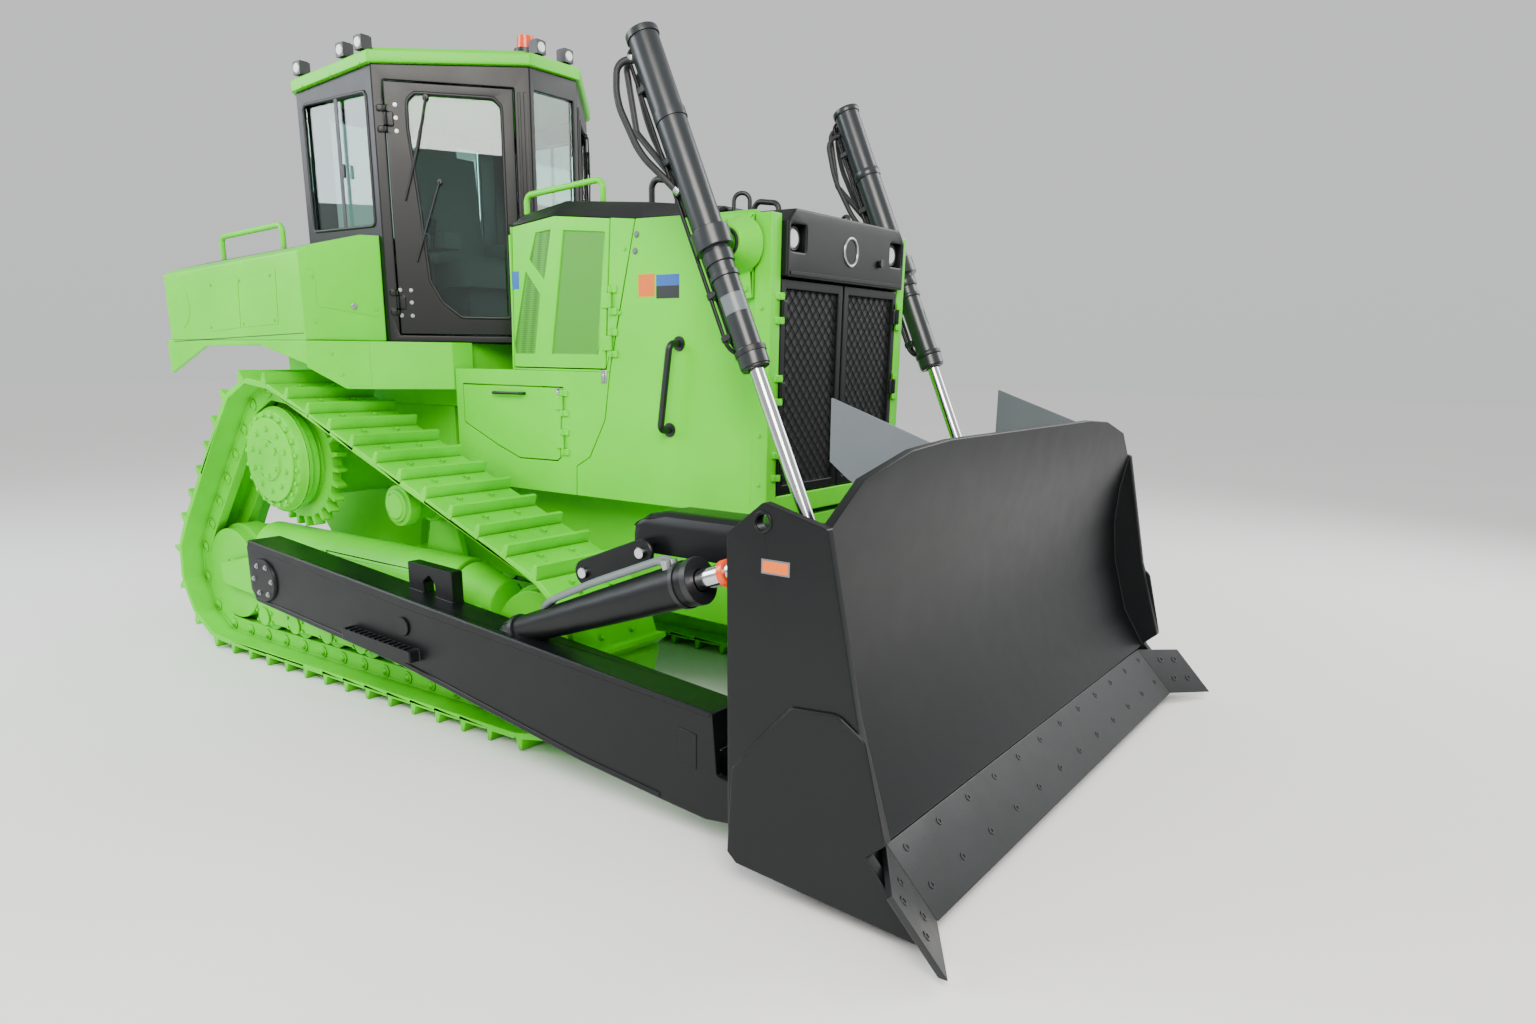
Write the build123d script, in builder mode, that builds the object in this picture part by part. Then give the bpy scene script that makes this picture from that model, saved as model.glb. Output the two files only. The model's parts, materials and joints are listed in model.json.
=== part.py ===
"""Crawler bulldozer with a high-drive track, two push arms, lift and tilt cylinders and a
tall semi-curved blade.

Frame: +X forward (blade end), +Y to the machine's left, +Z up, millimetres, tracks on z = 0.
"""

import math
import os

from build123d import *

# ---------------------------------------------------------------- driving sizes
# Tracks
HALF_GAUGE = 990.0          # centre line of one track from the middle of the machine
SHOE_WIDTH = 560.0
SHOE_COUNT = 41
GROUSER = 55.0              # height of the cleat above its shoe
SHOE_TOP = 80.0             # shoe's outer face above the line of the pins
SHOE_UNDER = 45.0           # shoe's inner face above the line of the pins
RAIL_DEPTH = 50.0           # rail's running face below the line of the pins
RAIL_INNER, RAIL_OUTER = 75.0, 135.0
IDLER_WRAP = 360.0          # radius of the pin line round an idler
SPROCKET_WRAP = 395.0
FRONT_IDLER_X = 390.0
WHEELBASE = 2850.0
SPROCKET_X = -1750.0
SPROCKET_Z = 1283.0
# Hood, radiator guard and engine sides
HOOD_HALF = 608.0
SHEET = 25.0
GUARD_FRONT = 1395.0
GUARD_REAR = GUARD_FRONT - 90.0
HOOD_REAR = -405.0
HOOD_CORNER_X = -322.0          # where the bent-in rear of the engine side ends
HOOD_Z_FRONT = 2515.0
HOOD_Z_SEAM = 2520.0
HOOD_Z_CREASE = 2569.0
HOOD_Z_CORNER = 2543.0
CREASE_LOW, CREASE_HIGH = -68.0, 72.0   # x of the engine side's crease at its foot and top
CREASE_BEND = 0.158             # how far the side bends in behind its crease, mm a mm
LEDGE_Z = 1821.0                # top of the flat lower side
SIDE_BOTTOM = 1188.0
GRILLE_BOTTOM, GRILLE_TOP = 1290.0, 2235.0
# Cab
CAB_HALF = 810.0
CAB_FLOOR = 1962.0
CAB_TOP = 3300.0                # at its rear; the roof rises forward
ROOF_SLOPE = 0.075
CAB_WALL = 50.0
CAB_FRONT_X, CAB_FRONT_HALF = -520.0, 180.0
CAB_DOOR_REAR_X = -1050.0
CAB_REAR_X = -1860.0
ROOF_RISE = 90.0
# Fenders and tanks
FENDER_OUT = 1206.0
DECK_Z = 1960.0
SKIRT = 25.0
TANK_REAR = -2740.0
# Blade and its linkage
ARM_INNER, ARM_WIDTH = 1305.0, 200.0
TRUNNION = (-1400.0, 660.0)     # push arm's rear ball, side view
ARM_PIN = (1890.0, 225.0)       # push arm's front pin
BRACE_FOOT = (520.0, 660.0)     # tilt cylinder's end on the arm
BRACE_HEAD = (1960.0, 1186.0)   # tilt cylinder's end on the blade
BLADE_HALF = 1700.0             # over the end plates
BLADE_TOP = 1615.0
EDGE_BOTTOM = 62.0
LIFT_Y = 845.0
LIFT_TRUNNION = (1244.0, 2372.0)
LIFT_EYE = (1985.0, 760.0)
BARREL_R, BARREL_THIN_R, LIFT_ROD_R = 66.0, 57.0, 31.5
PLAY = 0.5                      # radial room of a rod in its gland
SEAT = 0.3                      # gap of two faces that rest on each other

# ---------------------------------------------------------------- sizes that follow
REAR_IDLER_X = FRONT_IDLER_X - WHEELBASE
IDLER_Z = IDLER_WRAP + SHOE_TOP + GROUSER
ARM_Y = ARM_INNER + ARM_WIDTH / 2
ARM_OUTER = ARM_INNER + ARM_WIDTH


# ---------------------------------------------------------------- helpers
def side_prism(points, y_low, y_high):
    """Solid with a side-view outline of (x, z) points, between two values of y."""
    with BuildPart() as piece:
        with BuildSketch(Plane.XZ.offset(-y_low)):
            with BuildLine():
                Polyline(*points, close=True)
            make_face()
        extrude(amount=y_low - y_high)
    return piece.part


def plan_prism(points, z_low, z_high):
    """Solid with a plan outline of (x, y) points, between two heights."""
    with BuildPart() as piece:
        with BuildSketch(Plane.XY.offset(z_low)):
            with BuildLine():
                Polyline(*points, close=True)
            make_face()
        extrude(amount=z_high - z_low)
    return piece.part


def front_prism(points, x_low, x_high):
    """Solid with a front-view outline of (y, z) points, between two values of x."""
    with BuildPart() as piece:
        with BuildSketch(Plane.YZ.offset(x_low)):
            with BuildLine():
                Polyline(*points, close=True)
            make_face()
        extrude(amount=x_high - x_low)
    return piece.part


def block(x_low, x_high, y_low, y_high, z_low, z_high):
    """Box between two corners."""
    with BuildPart() as piece:
        with Locations(((x_low + x_high) / 2, (y_low + y_high) / 2, (z_low + z_high) / 2)):
            Box(x_high - x_low, y_high - y_low, z_high - z_low)
    return piece.part


def bar(start, end, radius, end_radius=None):
    """Round bar, or a taper, from one point to another."""
    axis = Vector(*end) - Vector(*start)
    place = Plane(origin=start, z_dir=axis)
    with BuildPart(place) as piece:
        if end_radius is None:
            Cylinder(radius, axis.length, align=(Align.CENTER, Align.CENTER, Align.MIN))
        else:
            Cone(radius, end_radius, axis.length,
                 align=(Align.CENTER, Align.CENTER, Align.MIN))
    return piece.part


def round_bar(points, radius, bend):
    """Round tube along a line of points with its corners rounded."""
    with BuildPart() as piece:
        with BuildLine() as path:
            FilletPolyline(*points, radius=bend)
        start = Plane(origin=path.line @ 0, z_dir=path.line % 0)
        with BuildSketch(start):
            Circle(radius)
        sweep()
    return piece.part


def joined(*pieces):
    """One solid of several pieces."""
    with BuildPart() as whole:
        for piece in pieces:
            add(piece)
    return whole.part


def cut(body, *tools):
    """A body less its tools."""
    with BuildPart() as rest:
        add(body)
        for tool in tools:
            add(tool, mode=Mode.SUBTRACT)
    return rest.part


def panel(place, outline, depth_low, depth_high):
    """Solid on a local plane, with its outline in the plane, between two depths."""
    with BuildPart() as piece:
        with BuildSketch(place.offset(depth_low)):
            with BuildLine():
                Polyline(*outline, close=True)
            make_face()
        extrude(amount=depth_high - depth_low)
    return piece.part


def inset(points, by):
    """Convex plan outline moved inward by a distance."""
    moved = []
    count = len(points)
    area = sum(points[i][0] * points[(i + 1) % count][1] - points[(i + 1) % count][0] * points[i][1]
               for i in range(count))
    sign = 1 if area > 0 else -1
    lines = []
    for i in range(count):
        (x0, y0), (x1, y1) = points[i], points[(i + 1) % count]
        size = math.hypot(x1 - x0, y1 - y0)
        normal = (-(y1 - y0) / size * sign, (x1 - x0) / size * sign)
        lines.append((normal, normal[0] * x0 + normal[1] * y0 + by))
    for i in range(count):
        (a, c), (b, d) = lines[i - 1], lines[i]
        det = a[0] * b[1] - a[1] * b[0]
        moved.append(((c * b[1] - a[1] * d) / det, (a[0] * d - c * b[0]) / det))
    return moved


def left_of(piece):
    """The mirrored piece on the machine's left."""
    return mirror(piece, about=Plane.XZ)


KNUCKLE_R, STANDOFF = 9.0, 11.0     # hinge line's radius and distance outside a panel


def hinge(axis, along, inward, heights, reach=40.0, half=35.0):
    """Door and frame knuckles of a vertical hinge line with leaves onto both panels."""
    door, frame = [], []
    for height in heights:
        for low, high, side, reached, pieces in (
                (-half, half, 1, reach, door),
                (-half - 32, -half - SEAT, -1, 40.0, frame),
                (half + SEAT, half + 32, -1, 40.0, frame)):
            leaf = [(axis[0] + along[0] * side * a + inward[0] * i,
                     axis[1] + along[1] * side * a + inward[1] * i)
                    for a, i in ((0, 2), (reached, 2), (reached, STANDOFF + 1),
                                 (reached - 18, STANDOFF + 1), (reached - 18, 9), (0, 9))]
            pieces.append(plan_prism(leaf, height + low, height + high))
            pieces.append(bar((*axis, height + low), (*axis, height + high), KNUCKLE_R))
    return joined(*door), joined(*frame)


NODES = {}


def keep(name, piece):
    """Note one node under its name."""
    NODES[name] = piece


def keep_pair(name, piece):
    """Note a right-hand piece and its mirrored left-hand one as two nodes."""
    keep(name + "_right", piece)
    keep(name + "_left", left_of(piece))


def keep_both(name, *pieces):
    """Note right-hand pieces and their mirrored left-hand ones as one node."""
    keep(name, Compound(children=[copy for piece in pieces
                                  for solid in piece.solids()
                                  for copy in (solid, left_of(solid))]))


# ---------------------------------------------------------------- track
WHEELS = [  # centre x, centre z, wrap radius, in the order front idler, sprocket, rear idler
    (FRONT_IDLER_X, IDLER_Z, IDLER_WRAP),
    (SPROCKET_X, SPROCKET_Z, SPROCKET_WRAP),
    (REAR_IDLER_X, IDLER_Z, IDLER_WRAP),
]


def tangent_angle(first, second):
    """Angle of the outward normal of the outer tangent from one wheel to the next."""
    gap_x, gap_z = second[0] - first[0], second[1] - first[1]
    gap = math.hypot(gap_x, gap_z)
    heading = math.atan2(gap_z, gap_x)
    return heading - math.acos((first[2] - second[2]) / gap)


def pin_line():
    """Stretches of the pin line: straight runs and wraps, with their lengths."""
    count = len(WHEELS)
    normals = [tangent_angle(WHEELS[i], WHEELS[(i + 1) % count]) for i in range(count)]
    stretches = []
    for i in range(count):
        wheel, after = WHEELS[i], WHEELS[(i + 1) % count]
        angle = normals[i]
        start = (wheel[0] + wheel[2] * math.cos(angle), wheel[1] + wheel[2] * math.sin(angle))
        end = (after[0] + after[2] * math.cos(angle), after[1] + after[2] * math.sin(angle))
        stretches.append(("run", math.dist(start, end), start, end, angle))
        turn = (normals[(i + 1) % count] - angle) % (2 * math.pi)
        stretches.append(("wrap", after[2] * turn, after, angle, turn))
    return stretches


def on_pin_line(stretches, distance):
    """Point on the pin line at a distance along it."""
    for kind, length, *rest in stretches:
        if distance <= length:
            break
        distance -= length
    if kind == "run":
        start, end, _ = rest
        share = distance / length
        return (start[0] + share * (end[0] - start[0]), start[1] + share * (end[1] - start[1]))
    wheel, angle, _ = rest
    angle += distance / wheel[2]
    return (wheel[0] + wheel[2] * math.cos(angle), wheel[1] + wheel[2] * math.sin(angle))


def link_frames():
    """Start, direction, outward normal and length of every link of the chain."""
    stretches = pin_line()
    total = sum(stretch[1] for stretch in stretches)
    pins = [on_pin_line(stretches, total * i / SHOE_COUNT) for i in range(SHOE_COUNT)]
    frames = []
    for i, pin in enumerate(pins):
        after = pins[(i + 1) % SHOE_COUNT]
        length = math.dist(pin, after)
        along = ((after[0] - pin[0]) / length, (after[1] - pin[1]) / length)
        frames.append((pin, along, (along[1], -along[0]), length))
    return frames


def link_point(frame, along, out):
    """Point of a link: a distance along it and a height out of the pin line."""
    pin, direction, normal, _ = frame
    return (pin[0] + along * direction[0] + out * normal[0],
            pin[1] + along * direction[1] + out * normal[1])


def corner_loop(frames, out):
    """Closed outline through the link ends at one height out of the pin line."""
    points = []
    for before, frame in zip([frames[-1]] + frames[:-1], frames):
        normal = (before[2][0] + frame[2][0], before[2][1] + frame[2][1])
        size = math.hypot(*normal)
        scale = out / (size / 2) / size
        points.append((frame[0][0] + normal[0] * scale, frame[0][1] + normal[1] * scale))
    return points


LINKS = link_frames()


def shoe_outline():
    """Outer outline of the shoes: a plate and one cleat a link, with a groove between."""
    outline = []
    grooves = corner_loop(LINKS, SHOE_UNDER + 18.0)
    for groove, frame in zip(grooves, LINKS):
        length = frame[3]
        outline.append(groove)
        outline.append(link_point(frame, 3.0, SHOE_TOP + GROUSER))
        outline.append(link_point(frame, 25.0, SHOE_TOP + GROUSER))
        outline.append(link_point(frame, 42.0, SHOE_TOP))
        outline.append(link_point(frame, length - 5.0, SHOE_TOP))
    return outline


def track_loop():
    """Right-hand track: shoes with cleats on two rails, as one loop."""
    low, high = -HALF_GAUGE - SHOE_WIDTH / 2, -HALF_GAUGE + SHOE_WIDTH / 2
    shoes = cut(side_prism(shoe_outline(), low, high),
                side_prism(corner_loop(LINKS, SHOE_UNDER), low - 1, high + 1))
    rails = []
    for inner, outer in ((-RAIL_OUTER, -RAIL_INNER), (RAIL_INNER, RAIL_OUTER)):
        rails.append(cut(
            side_prism(corner_loop(LINKS, SHOE_UNDER + 5.0), -HALF_GAUGE + inner,
                       -HALF_GAUGE + outer),
            side_prism(corner_loop(LINKS, -RAIL_DEPTH), -HALF_GAUGE + inner - 1,
                       -HALF_GAUGE + outer + 1)))
    return joined(shoes, *rails)


keep_both("tracks", track_loop())

# ---------------------------------------------------------------- wheels of the track
LINK_LENGTH = LINKS[0][3]


def tread_radius(wrap):
    """Radius that just touches the rails in the middle of a wrapped link."""
    return math.sqrt(wrap ** 2 - (LINK_LENGTH / 2) ** 2) - RAIL_DEPTH


def wheel(x, z, steps):
    """Right-hand wheel of stepped discs: (from, to, radius) outward from the track's middle."""
    discs = [bar((x, -HALF_GAUGE - a, z), (x, -HALF_GAUGE - b, z), r) for a, b, r in steps]
    return joined(*discs)


def idler(x):
    """One idler: a tread each side, a centre flange between the rails and a hub."""
    tread = tread_radius(IDLER_WRAP) - 0.5
    return wheel(x, IDLER_Z, ((-140, -60, tread), (60, 140, tread), (-66, 66, tread + 24.0),
                              (-152, 152, 95.0)))


SPROCKET_TEETH = 27


def sprocket_outline():
    """Tooth outline of the sprocket."""
    tip = math.sqrt(SPROCKET_WRAP ** 2 - (LINK_LENGTH / 2) ** 2) + SHOE_UNDER - 14.0
    root = tip - 58.0
    step = 2 * math.pi / SPROCKET_TEETH
    outline = []
    for tooth in range(SPROCKET_TEETH):
        for share, radius in ((0.0, root), (0.30, root), (0.42, tip), (0.62, tip), (0.74, root)):
            angle = -(tooth + share) * step
            outline.append((SPROCKET_X + radius * math.cos(angle),
                            SPROCKET_Z + radius * math.sin(angle)))
    return outline


HUB_R = 305.0
keep_both("final_drives", joined(
    side_prism(sprocket_outline(), -HALF_GAUGE - 36.0, -HALF_GAUGE + 36.0),
    wheel(SPROCKET_X, SPROCKET_Z, ((-64, 64, 268.0), (63, 120, HUB_R - 22), (118, 150, HUB_R))),
    bar((SPROCKET_X, -HALF_GAUGE - 149, SPROCKET_Z), (SPROCKET_X, -HALF_GAUGE - 196, SPROCKET_Z),
        HUB_R, HUB_R - 22),
    wheel(SPROCKET_X, SPROCKET_Z, ((195, 216, HUB_R - 60), (215, 226, 120))),
))

ROLLER_R = 105.0
ROLLER_Z = IDLER_Z - IDLER_WRAP + RAIL_DEPTH + ROLLER_R + 0.5
ROLLER_XS = [-2040.0 + 340.0 * i for i in range(7)]
FRAME_PLATE = 165.0     # inner face of the track frame's side plates from the track's middle
rollers = [wheel(x, ROLLER_Z, ((-140, -70, ROLLER_R), (70, 140, ROLLER_R), (-76, 76, 78.0),
                               (-FRAME_PLATE + SEAT, FRAME_PLATE - SEAT, 42.0)))
           for x in ROLLER_XS]

# Carrier roller under the sloping run
CARRIER_X = -650.0
run_start = link_point(LINKS[0], 0.0, 0.0)
slope_normal = tangent_angle(WHEELS[0], WHEELS[1])
edge_x = FRONT_IDLER_X + (IDLER_WRAP - RAIL_DEPTH) * math.cos(slope_normal)
edge_z = IDLER_Z + (IDLER_WRAP - RAIL_DEPTH) * math.sin(slope_normal)
CARRIER_R = 110.0
carrier_gap = CARRIER_R + 0.7
CARRIER_Z = edge_z + (edge_x - CARRIER_X) / math.tan(slope_normal) \
    - carrier_gap / math.sin(slope_normal)
carrier = wheel(CARRIER_X, CARRIER_Z, (
    (-140, -70, CARRIER_R), (70, 140, CARRIER_R), (-76, 76, 84.0), (-190, 150, 60.0),
    (139, 156, 88.0), (155, 166, 70.0)))
keep_both("track_wheels", idler(FRONT_IDLER_X), idler(REAR_IDLER_X), carrier, *rollers)

# ---------------------------------------------------------------- track frame
PLATE_OUT = HALF_GAUGE + FRAME_PLATE + 25.0
TUBE_Z, TUBE_R = 690.0, 165.0
PIVOT_X, PIVOT_END, EQUALIZER_X = -1100.0, 790.0, 60.0


def frame_plate(offset):
    """Side plate of the track frame, its inner face at an offset from the track's middle."""
    outline = [(REAR_IDLER_X - 60, IDLER_Z - 70), (REAR_IDLER_X + 330, 400),
               (REAR_IDLER_X + 360, 240), (ROLLER_XS[-1] + 90, 240),
               (ROLLER_XS[-1] + 120, 400), (FRONT_IDLER_X + 60, IDLER_Z - 70),
               (FRONT_IDLER_X + 60, IDLER_Z + 70), (FRONT_IDLER_X - 200, 640),
               (REAR_IDLER_X + 260, 640), (REAR_IDLER_X - 60, IDLER_Z + 70)]
    return side_prism(outline, offset, offset + 25.0)


track_frame = joined(
    frame_plate(-PLATE_OUT),
    frame_plate(-HALF_GAUGE + FRAME_PLATE),
    block(REAR_IDLER_X + 400, FRONT_IDLER_X - 420, -PLATE_OUT + 5, -HALF_GAUGE + FRAME_PLATE + 5,
          430, 640),
    bar((REAR_IDLER_X + 330, -HALF_GAUGE, TUBE_Z), (-230, -HALF_GAUGE, TUBE_Z), TUBE_R),
    bar((-231, -HALF_GAUGE, TUBE_Z), (30, -HALF_GAUGE, TUBE_Z - 40), TUBE_R - 12, 120),
    # carrier roller's post
    side_prism([(CARRIER_X - 190, 700), (CARRIER_X + 190, 700), (CARRIER_X + 70, CARRIER_Z + 40),
                (CARRIER_X - 70, CARRIER_Z + 40)], -HALF_GAUGE + 150, -HALF_GAUGE + 190),
    block(CARRIER_X - 190, CARRIER_X + 190, -HALF_GAUGE - 5, -HALF_GAUGE + 190, 640, 720),
    bar((PIVOT_X, -HALF_GAUGE, TUBE_Z), (PIVOT_X, -PIVOT_END, TUBE_Z), 120),
    # trunnion of the push arm
    bar((TRUNNION[0], -HALF_GAUGE - 100, TRUNNION[1]), (TRUNNION[0], -ARM_INNER + 15, TRUNNION[1]),
        115),
    bar((TRUNNION[0], -ARM_INNER + 20, TRUNNION[1]), (TRUNNION[0], -ARM_OUTER + 34, TRUNNION[1]),
        50),
)
track_frame = cut(
    track_frame,
    wheel(REAR_IDLER_X, IDLER_Z, ((-153, 153, 340.0),)),
    wheel(FRONT_IDLER_X, IDLER_Z, ((-153, 153, 340.0),)),
    bar((CARRIER_X, -HALF_GAUGE + 100, CARRIER_Z), (CARRIER_X, -HALF_GAUGE + 191, CARRIER_Z),
        60.0 + SEAT),
)
keep_both("track_frames", track_frame)

# ---------------------------------------------------------------- chassis
hull = joined(
    side_prism([(-1500, 640), (1250, 560), (1380, 700), (1380, 1160), (-1500, 1160)], -380, 380),
    # rear case
    side_prism([(-2480, 760), (-2300, 560), (-1450, 560), (-1380, 900), (-1380, 1600),
                (-2380, 1600), (-2480, 1400)], -430, 430),
    block(-1500, -1000, -430, 430, 1000, 1700),
    # pivot shaft and equalizer bar out to the track frames
    bar((PIVOT_X, PIVOT_END - SEAT, TUBE_Z), (PIVOT_X, -PIVOT_END + SEAT, TUBE_Z), 90),
    block(EQUALIZER_X - 110, EQUALIZER_X + 110, -HALF_GAUGE + FRAME_PLATE + 25 + SEAT,
          HALF_GAUGE - FRAME_PLATE - 25 - SEAT, 520, 660),
    # engine side skirts' supports and radiator bottom
    block(900, GUARD_REAR - SEAT, -560, 560, 1120, 1270),
    *[block(-740, GUARD_REAR - SEAT, *span, 1200, 1260)
      for span in ((-HOOD_HALF + SHEET + SEAT, -330), (330, HOOD_HALF - SHEET - SEAT))],
    block(-740, -640, -HOOD_HALF + SHEET + SEAT, HOOD_HALF - SHEET - SEAT, 1100, 1260),
    # frame under the cab and the tanks
    block(-2700, -800, -450, 450, 1600, DECK_Z - SKIRT - 40),
    block(-2700, -2470, -450, 450, 1400, 1720),
    block(-2790, -800, -469, 469, DECK_Z - SKIRT - 41, DECK_Z - 0.5),
    # final drive spindles
    bar((SPROCKET_X, HALF_GAUGE - 64 - SEAT, SPROCKET_Z),
        (SPROCKET_X, -HALF_GAUGE + 64 + SEAT, SPROCKET_Z), 235),
)
keep("main_frame", hull)
keep("engine_block", block(-370, 760, -310, 310, 1160 + SEAT, 2120))
keep("radiator_core", block(1130, 1230, -530, 530, 1270 + SEAT, 2230))

# Drawbar at the rear: one plate tongue, bored for a 50 mm pin, on a block under the rear frame
DRAWBAR_Z = 760.0
DRAWBAR_THICK = 60.0
DRAWBAR_X = -2840.0
DRAWBAR_BORE = 26.0
DRAWBAR_HALF = 90.0
tongue = joined(block(DRAWBAR_X, -2600, -DRAWBAR_HALF, DRAWBAR_HALF,
                      DRAWBAR_Z - DRAWBAR_THICK / 2, DRAWBAR_Z + DRAWBAR_THICK / 2),
                bar((DRAWBAR_X, 0, DRAWBAR_Z - DRAWBAR_THICK / 2),
                    (DRAWBAR_X, 0, DRAWBAR_Z + DRAWBAR_THICK / 2), DRAWBAR_HALF))
keep("drawbar", cut(
    joined(block(-2640, -2480 - SEAT, -210, 210, DRAWBAR_Z - 80, DRAWBAR_Z + 140), tongue),
    bar((DRAWBAR_X, 0, DRAWBAR_Z - 100), (DRAWBAR_X, 0, DRAWBAR_Z + 100), DRAWBAR_BORE)))

# ---------------------------------------------------------------- engine enclosure
SEAM = [(607, HOOD_Z_SEAM), (430, 1832), (390, 1587), (279, 1394), (184, 1341), (178, SIDE_BOTTOM)]
GAP = 6.0
TOP_LINE = [  # x, height of the side's top edge
    (HOOD_CORNER_X, HOOD_Z_CORNER), (CREASE_HIGH, HOOD_Z_CREASE), (SEAM[0][0], HOOD_Z_SEAM),
    (GUARD_FRONT - 330, HOOD_Z_FRONT)]
VENT_REAR = HOOD_CORNER_X + 22


def top_edge(x):
    """Height of the engine side's top edge at a distance along the machine."""
    for (x0, z0), (x1, z1) in zip(TOP_LINE, TOP_LINE[1:]):
        if x <= x1:
            break
    return z0 + (x - x0) / (x1 - x0) * (z1 - z0)


VENT_DOOR = [(VENT_REAR, 1838), (400, 1838), (445, top_edge(445) - 3),
             (CREASE_HIGH, HOOD_Z_CREASE - 3), (VENT_REAR, top_edge(VENT_REAR) - 3)]
TOOL_DOOR = [(-690, 1735), (91, 1735), (62, 1378), (40, 1362), (-250, 1358), (-430, 1420),
             (-690, 1530)]


def common(body, tool):
    """What two solids share."""
    with BuildPart() as shared:
        add(body)
        add(tool, mode=Mode.INTERSECT)
    return shared.part


def side_skin(outer, inner):
    """Upper engine side between two depths: flat, then bent in behind a sloping crease."""
    rear = HOOD_CORNER_X - 200
    bent = (CREASE_LOW - rear) * CREASE_BEND
    lean = Vector(CREASE_HIGH - CREASE_LOW, 0, HOOD_Z_CREASE - LEDGE_Z)
    with BuildPart() as skin:
        with BuildSketch(Plane.XY.offset(LEDGE_Z)):
            with BuildLine():
                Polyline((700, -HOOD_HALF + outer), (CREASE_LOW, -HOOD_HALF + outer),
                         (rear, -HOOD_HALF + bent + outer), (rear, -HOOD_HALF + bent + inner),
                         (CREASE_LOW, -HOOD_HALF + inner), (700, -HOOD_HALF + inner), close=True)
            make_face()
        extrude(amount=lean.length, dir=lean.normalized())
    return skin.part


CORNER_Y = -HOOD_HALF + (CREASE_HIGH - HOOD_CORNER_X) * CREASE_BEND     # at the top
upper_line = [(x, z) for x, z in TOP_LINE[:3]]
upper_side = cut(
    common(side_skin(0, SHEET),
           side_prism(upper_line[:2] + [(x - 3, z) for x, z in SEAM[:2]]
                      + [(425, LEDGE_Z + 1), (HOOD_CORNER_X, LEDGE_Z + 1)],
                      -HOOD_HALF - 1, -400)),
    side_prism(inset(VENT_DOOR, -GAP), -HOOD_HALF - 1, -400))
bulkhead = plan_prism([(HOOD_CORNER_X + 1, CORNER_Y + 8), (HOOD_REAR + 1, -390), (HOOD_REAR + 1, 1),
                       (HOOD_REAR + 13, 1), (HOOD_REAR + 13, -386), (HOOD_CORNER_X + 14, CORNER_Y + 14)],
                      LEDGE_Z - 12, HOOD_Z_CORNER - 40)
ledge = block(-754, CREASE_LOW + 60, -HOOD_HALF + 1, -440, LEDGE_Z - 12, LEDGE_Z)
rear_side = joined(
    cut(side_prism([(425, LEDGE_Z)] + [(x - 3, z) for x, z in SEAM[2:]]
                   + [(-754, SIDE_BOTTOM), (-754, LEDGE_Z)],
                   -HOOD_HALF, -HOOD_HALF + SHEET),
        side_prism(inset(TOOL_DOOR, -GAP), -HOOD_HALF - 1, -HOOD_HALF + SHEET + 1)),
    upper_side, ledge,
    block(HOOD_CORNER_X + 2, HOOD_CORNER_X + 14, CORNER_Y - 15, CORNER_Y + 14, LEDGE_Z - 12,
          HOOD_Z_CORNER - 40),
    bulkhead)
front_side = side_prism([(x + 3, z) for x, z in SEAM]
                        + [(GUARD_REAR - SEAT, SIDE_BOTTOM), (GUARD_REAR - SEAT, HOOD_Z_FRONT),
                           TOP_LINE[3]],
                        -HOOD_HALF, -HOOD_HALF + SHEET)
handle = round_bar([(874, -HOOD_HALF - SEAT, 1959), (874, -HOOD_HALF - 72, 1959),
                    (816, -HOOD_HALF - 72, 1559), (816, -HOOD_HALF - SEAT, 1559)], 16, 30)
OUT_Y = -HOOD_HALF - STANDOFF
TOOL_AXIS, VENT_AXIS = TOOL_DOOR[1][0] + GAP / 2, VENT_DOOR[2][0] + GAP / 2
tool_knuckles, tool_frame = hinge((TOOL_AXIS, OUT_Y), (-1, 0), (0, 1), (1460, 1660), 50)
vent_knuckles, vent_frame = hinge((VENT_AXIS, OUT_Y), (-1, 0), (0, 1), (1960, 2160), 60)
rear_side = joined(rear_side, tool_frame, vent_frame)
keep_both("engine_sides", rear_side, front_side)

BIG_VENT = [(130, 2497), (410, 2474), (348, 1905), (22, 1905)]
UP_VENT = [(-92, 2500), (42, 2506), (-20, 2268), (-150, 2371)]
LOW_VENT = [(-186, 2318), (-58, 2200), (-112, 1905), (-292, 1905), (-300, 1960)]
vent_door = common(side_skin(0, SHEET), side_prism(VENT_DOOR, -HOOD_HALF - 1, -400))
recess = side_skin(-5, 8)
for vent in (BIG_VENT, UP_VENT, LOW_VENT):
    vent_door = cut(vent_door, common(recess, side_prism(vent, -HOOD_HALF - 6, -400)))
keep_pair("vent_door", joined(vent_door, vent_knuckles))
keep_pair("tool_door", joined(side_prism(TOOL_DOOR, -HOOD_HALF, -HOOD_HALF + SHEET),
                              tool_knuckles))

# Hood cover: a shallow shell with sloping shoulders, narrowed towards the cab
HOOD_COVER_FRONT = GUARD_FRONT - 330
SHOULDER = 90.0
HOOD_SECTIONS = [  # x, half width, height of its edge, rise to its top
    (HOOD_REAR, 390.0, HOOD_Z_CORNER - 5, 50.0),
    (HOOD_CORNER_X, -CORNER_Y, HOOD_Z_CORNER, 66.0),
    (CREASE_HIGH, HOOD_HALF, HOOD_Z_CREASE, 78.0),
    (SEAM[0][0], HOOD_HALF, HOOD_Z_SEAM, 84.0),
    (HOOD_COVER_FRONT, HOOD_HALF, HOOD_Z_FRONT, 40.0),
]


def hood_section(half, low, high, drop):
    """Front-view outline of the hood cover."""
    return [(-half, low), (-half + SHOULDER, high), (half - SHOULDER, high), (half, low),
            (half - drop, low), (half - SHOULDER - 5, high - drop),
            (-half + SHOULDER + 5, high - drop), (-half + drop, low)]


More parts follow.
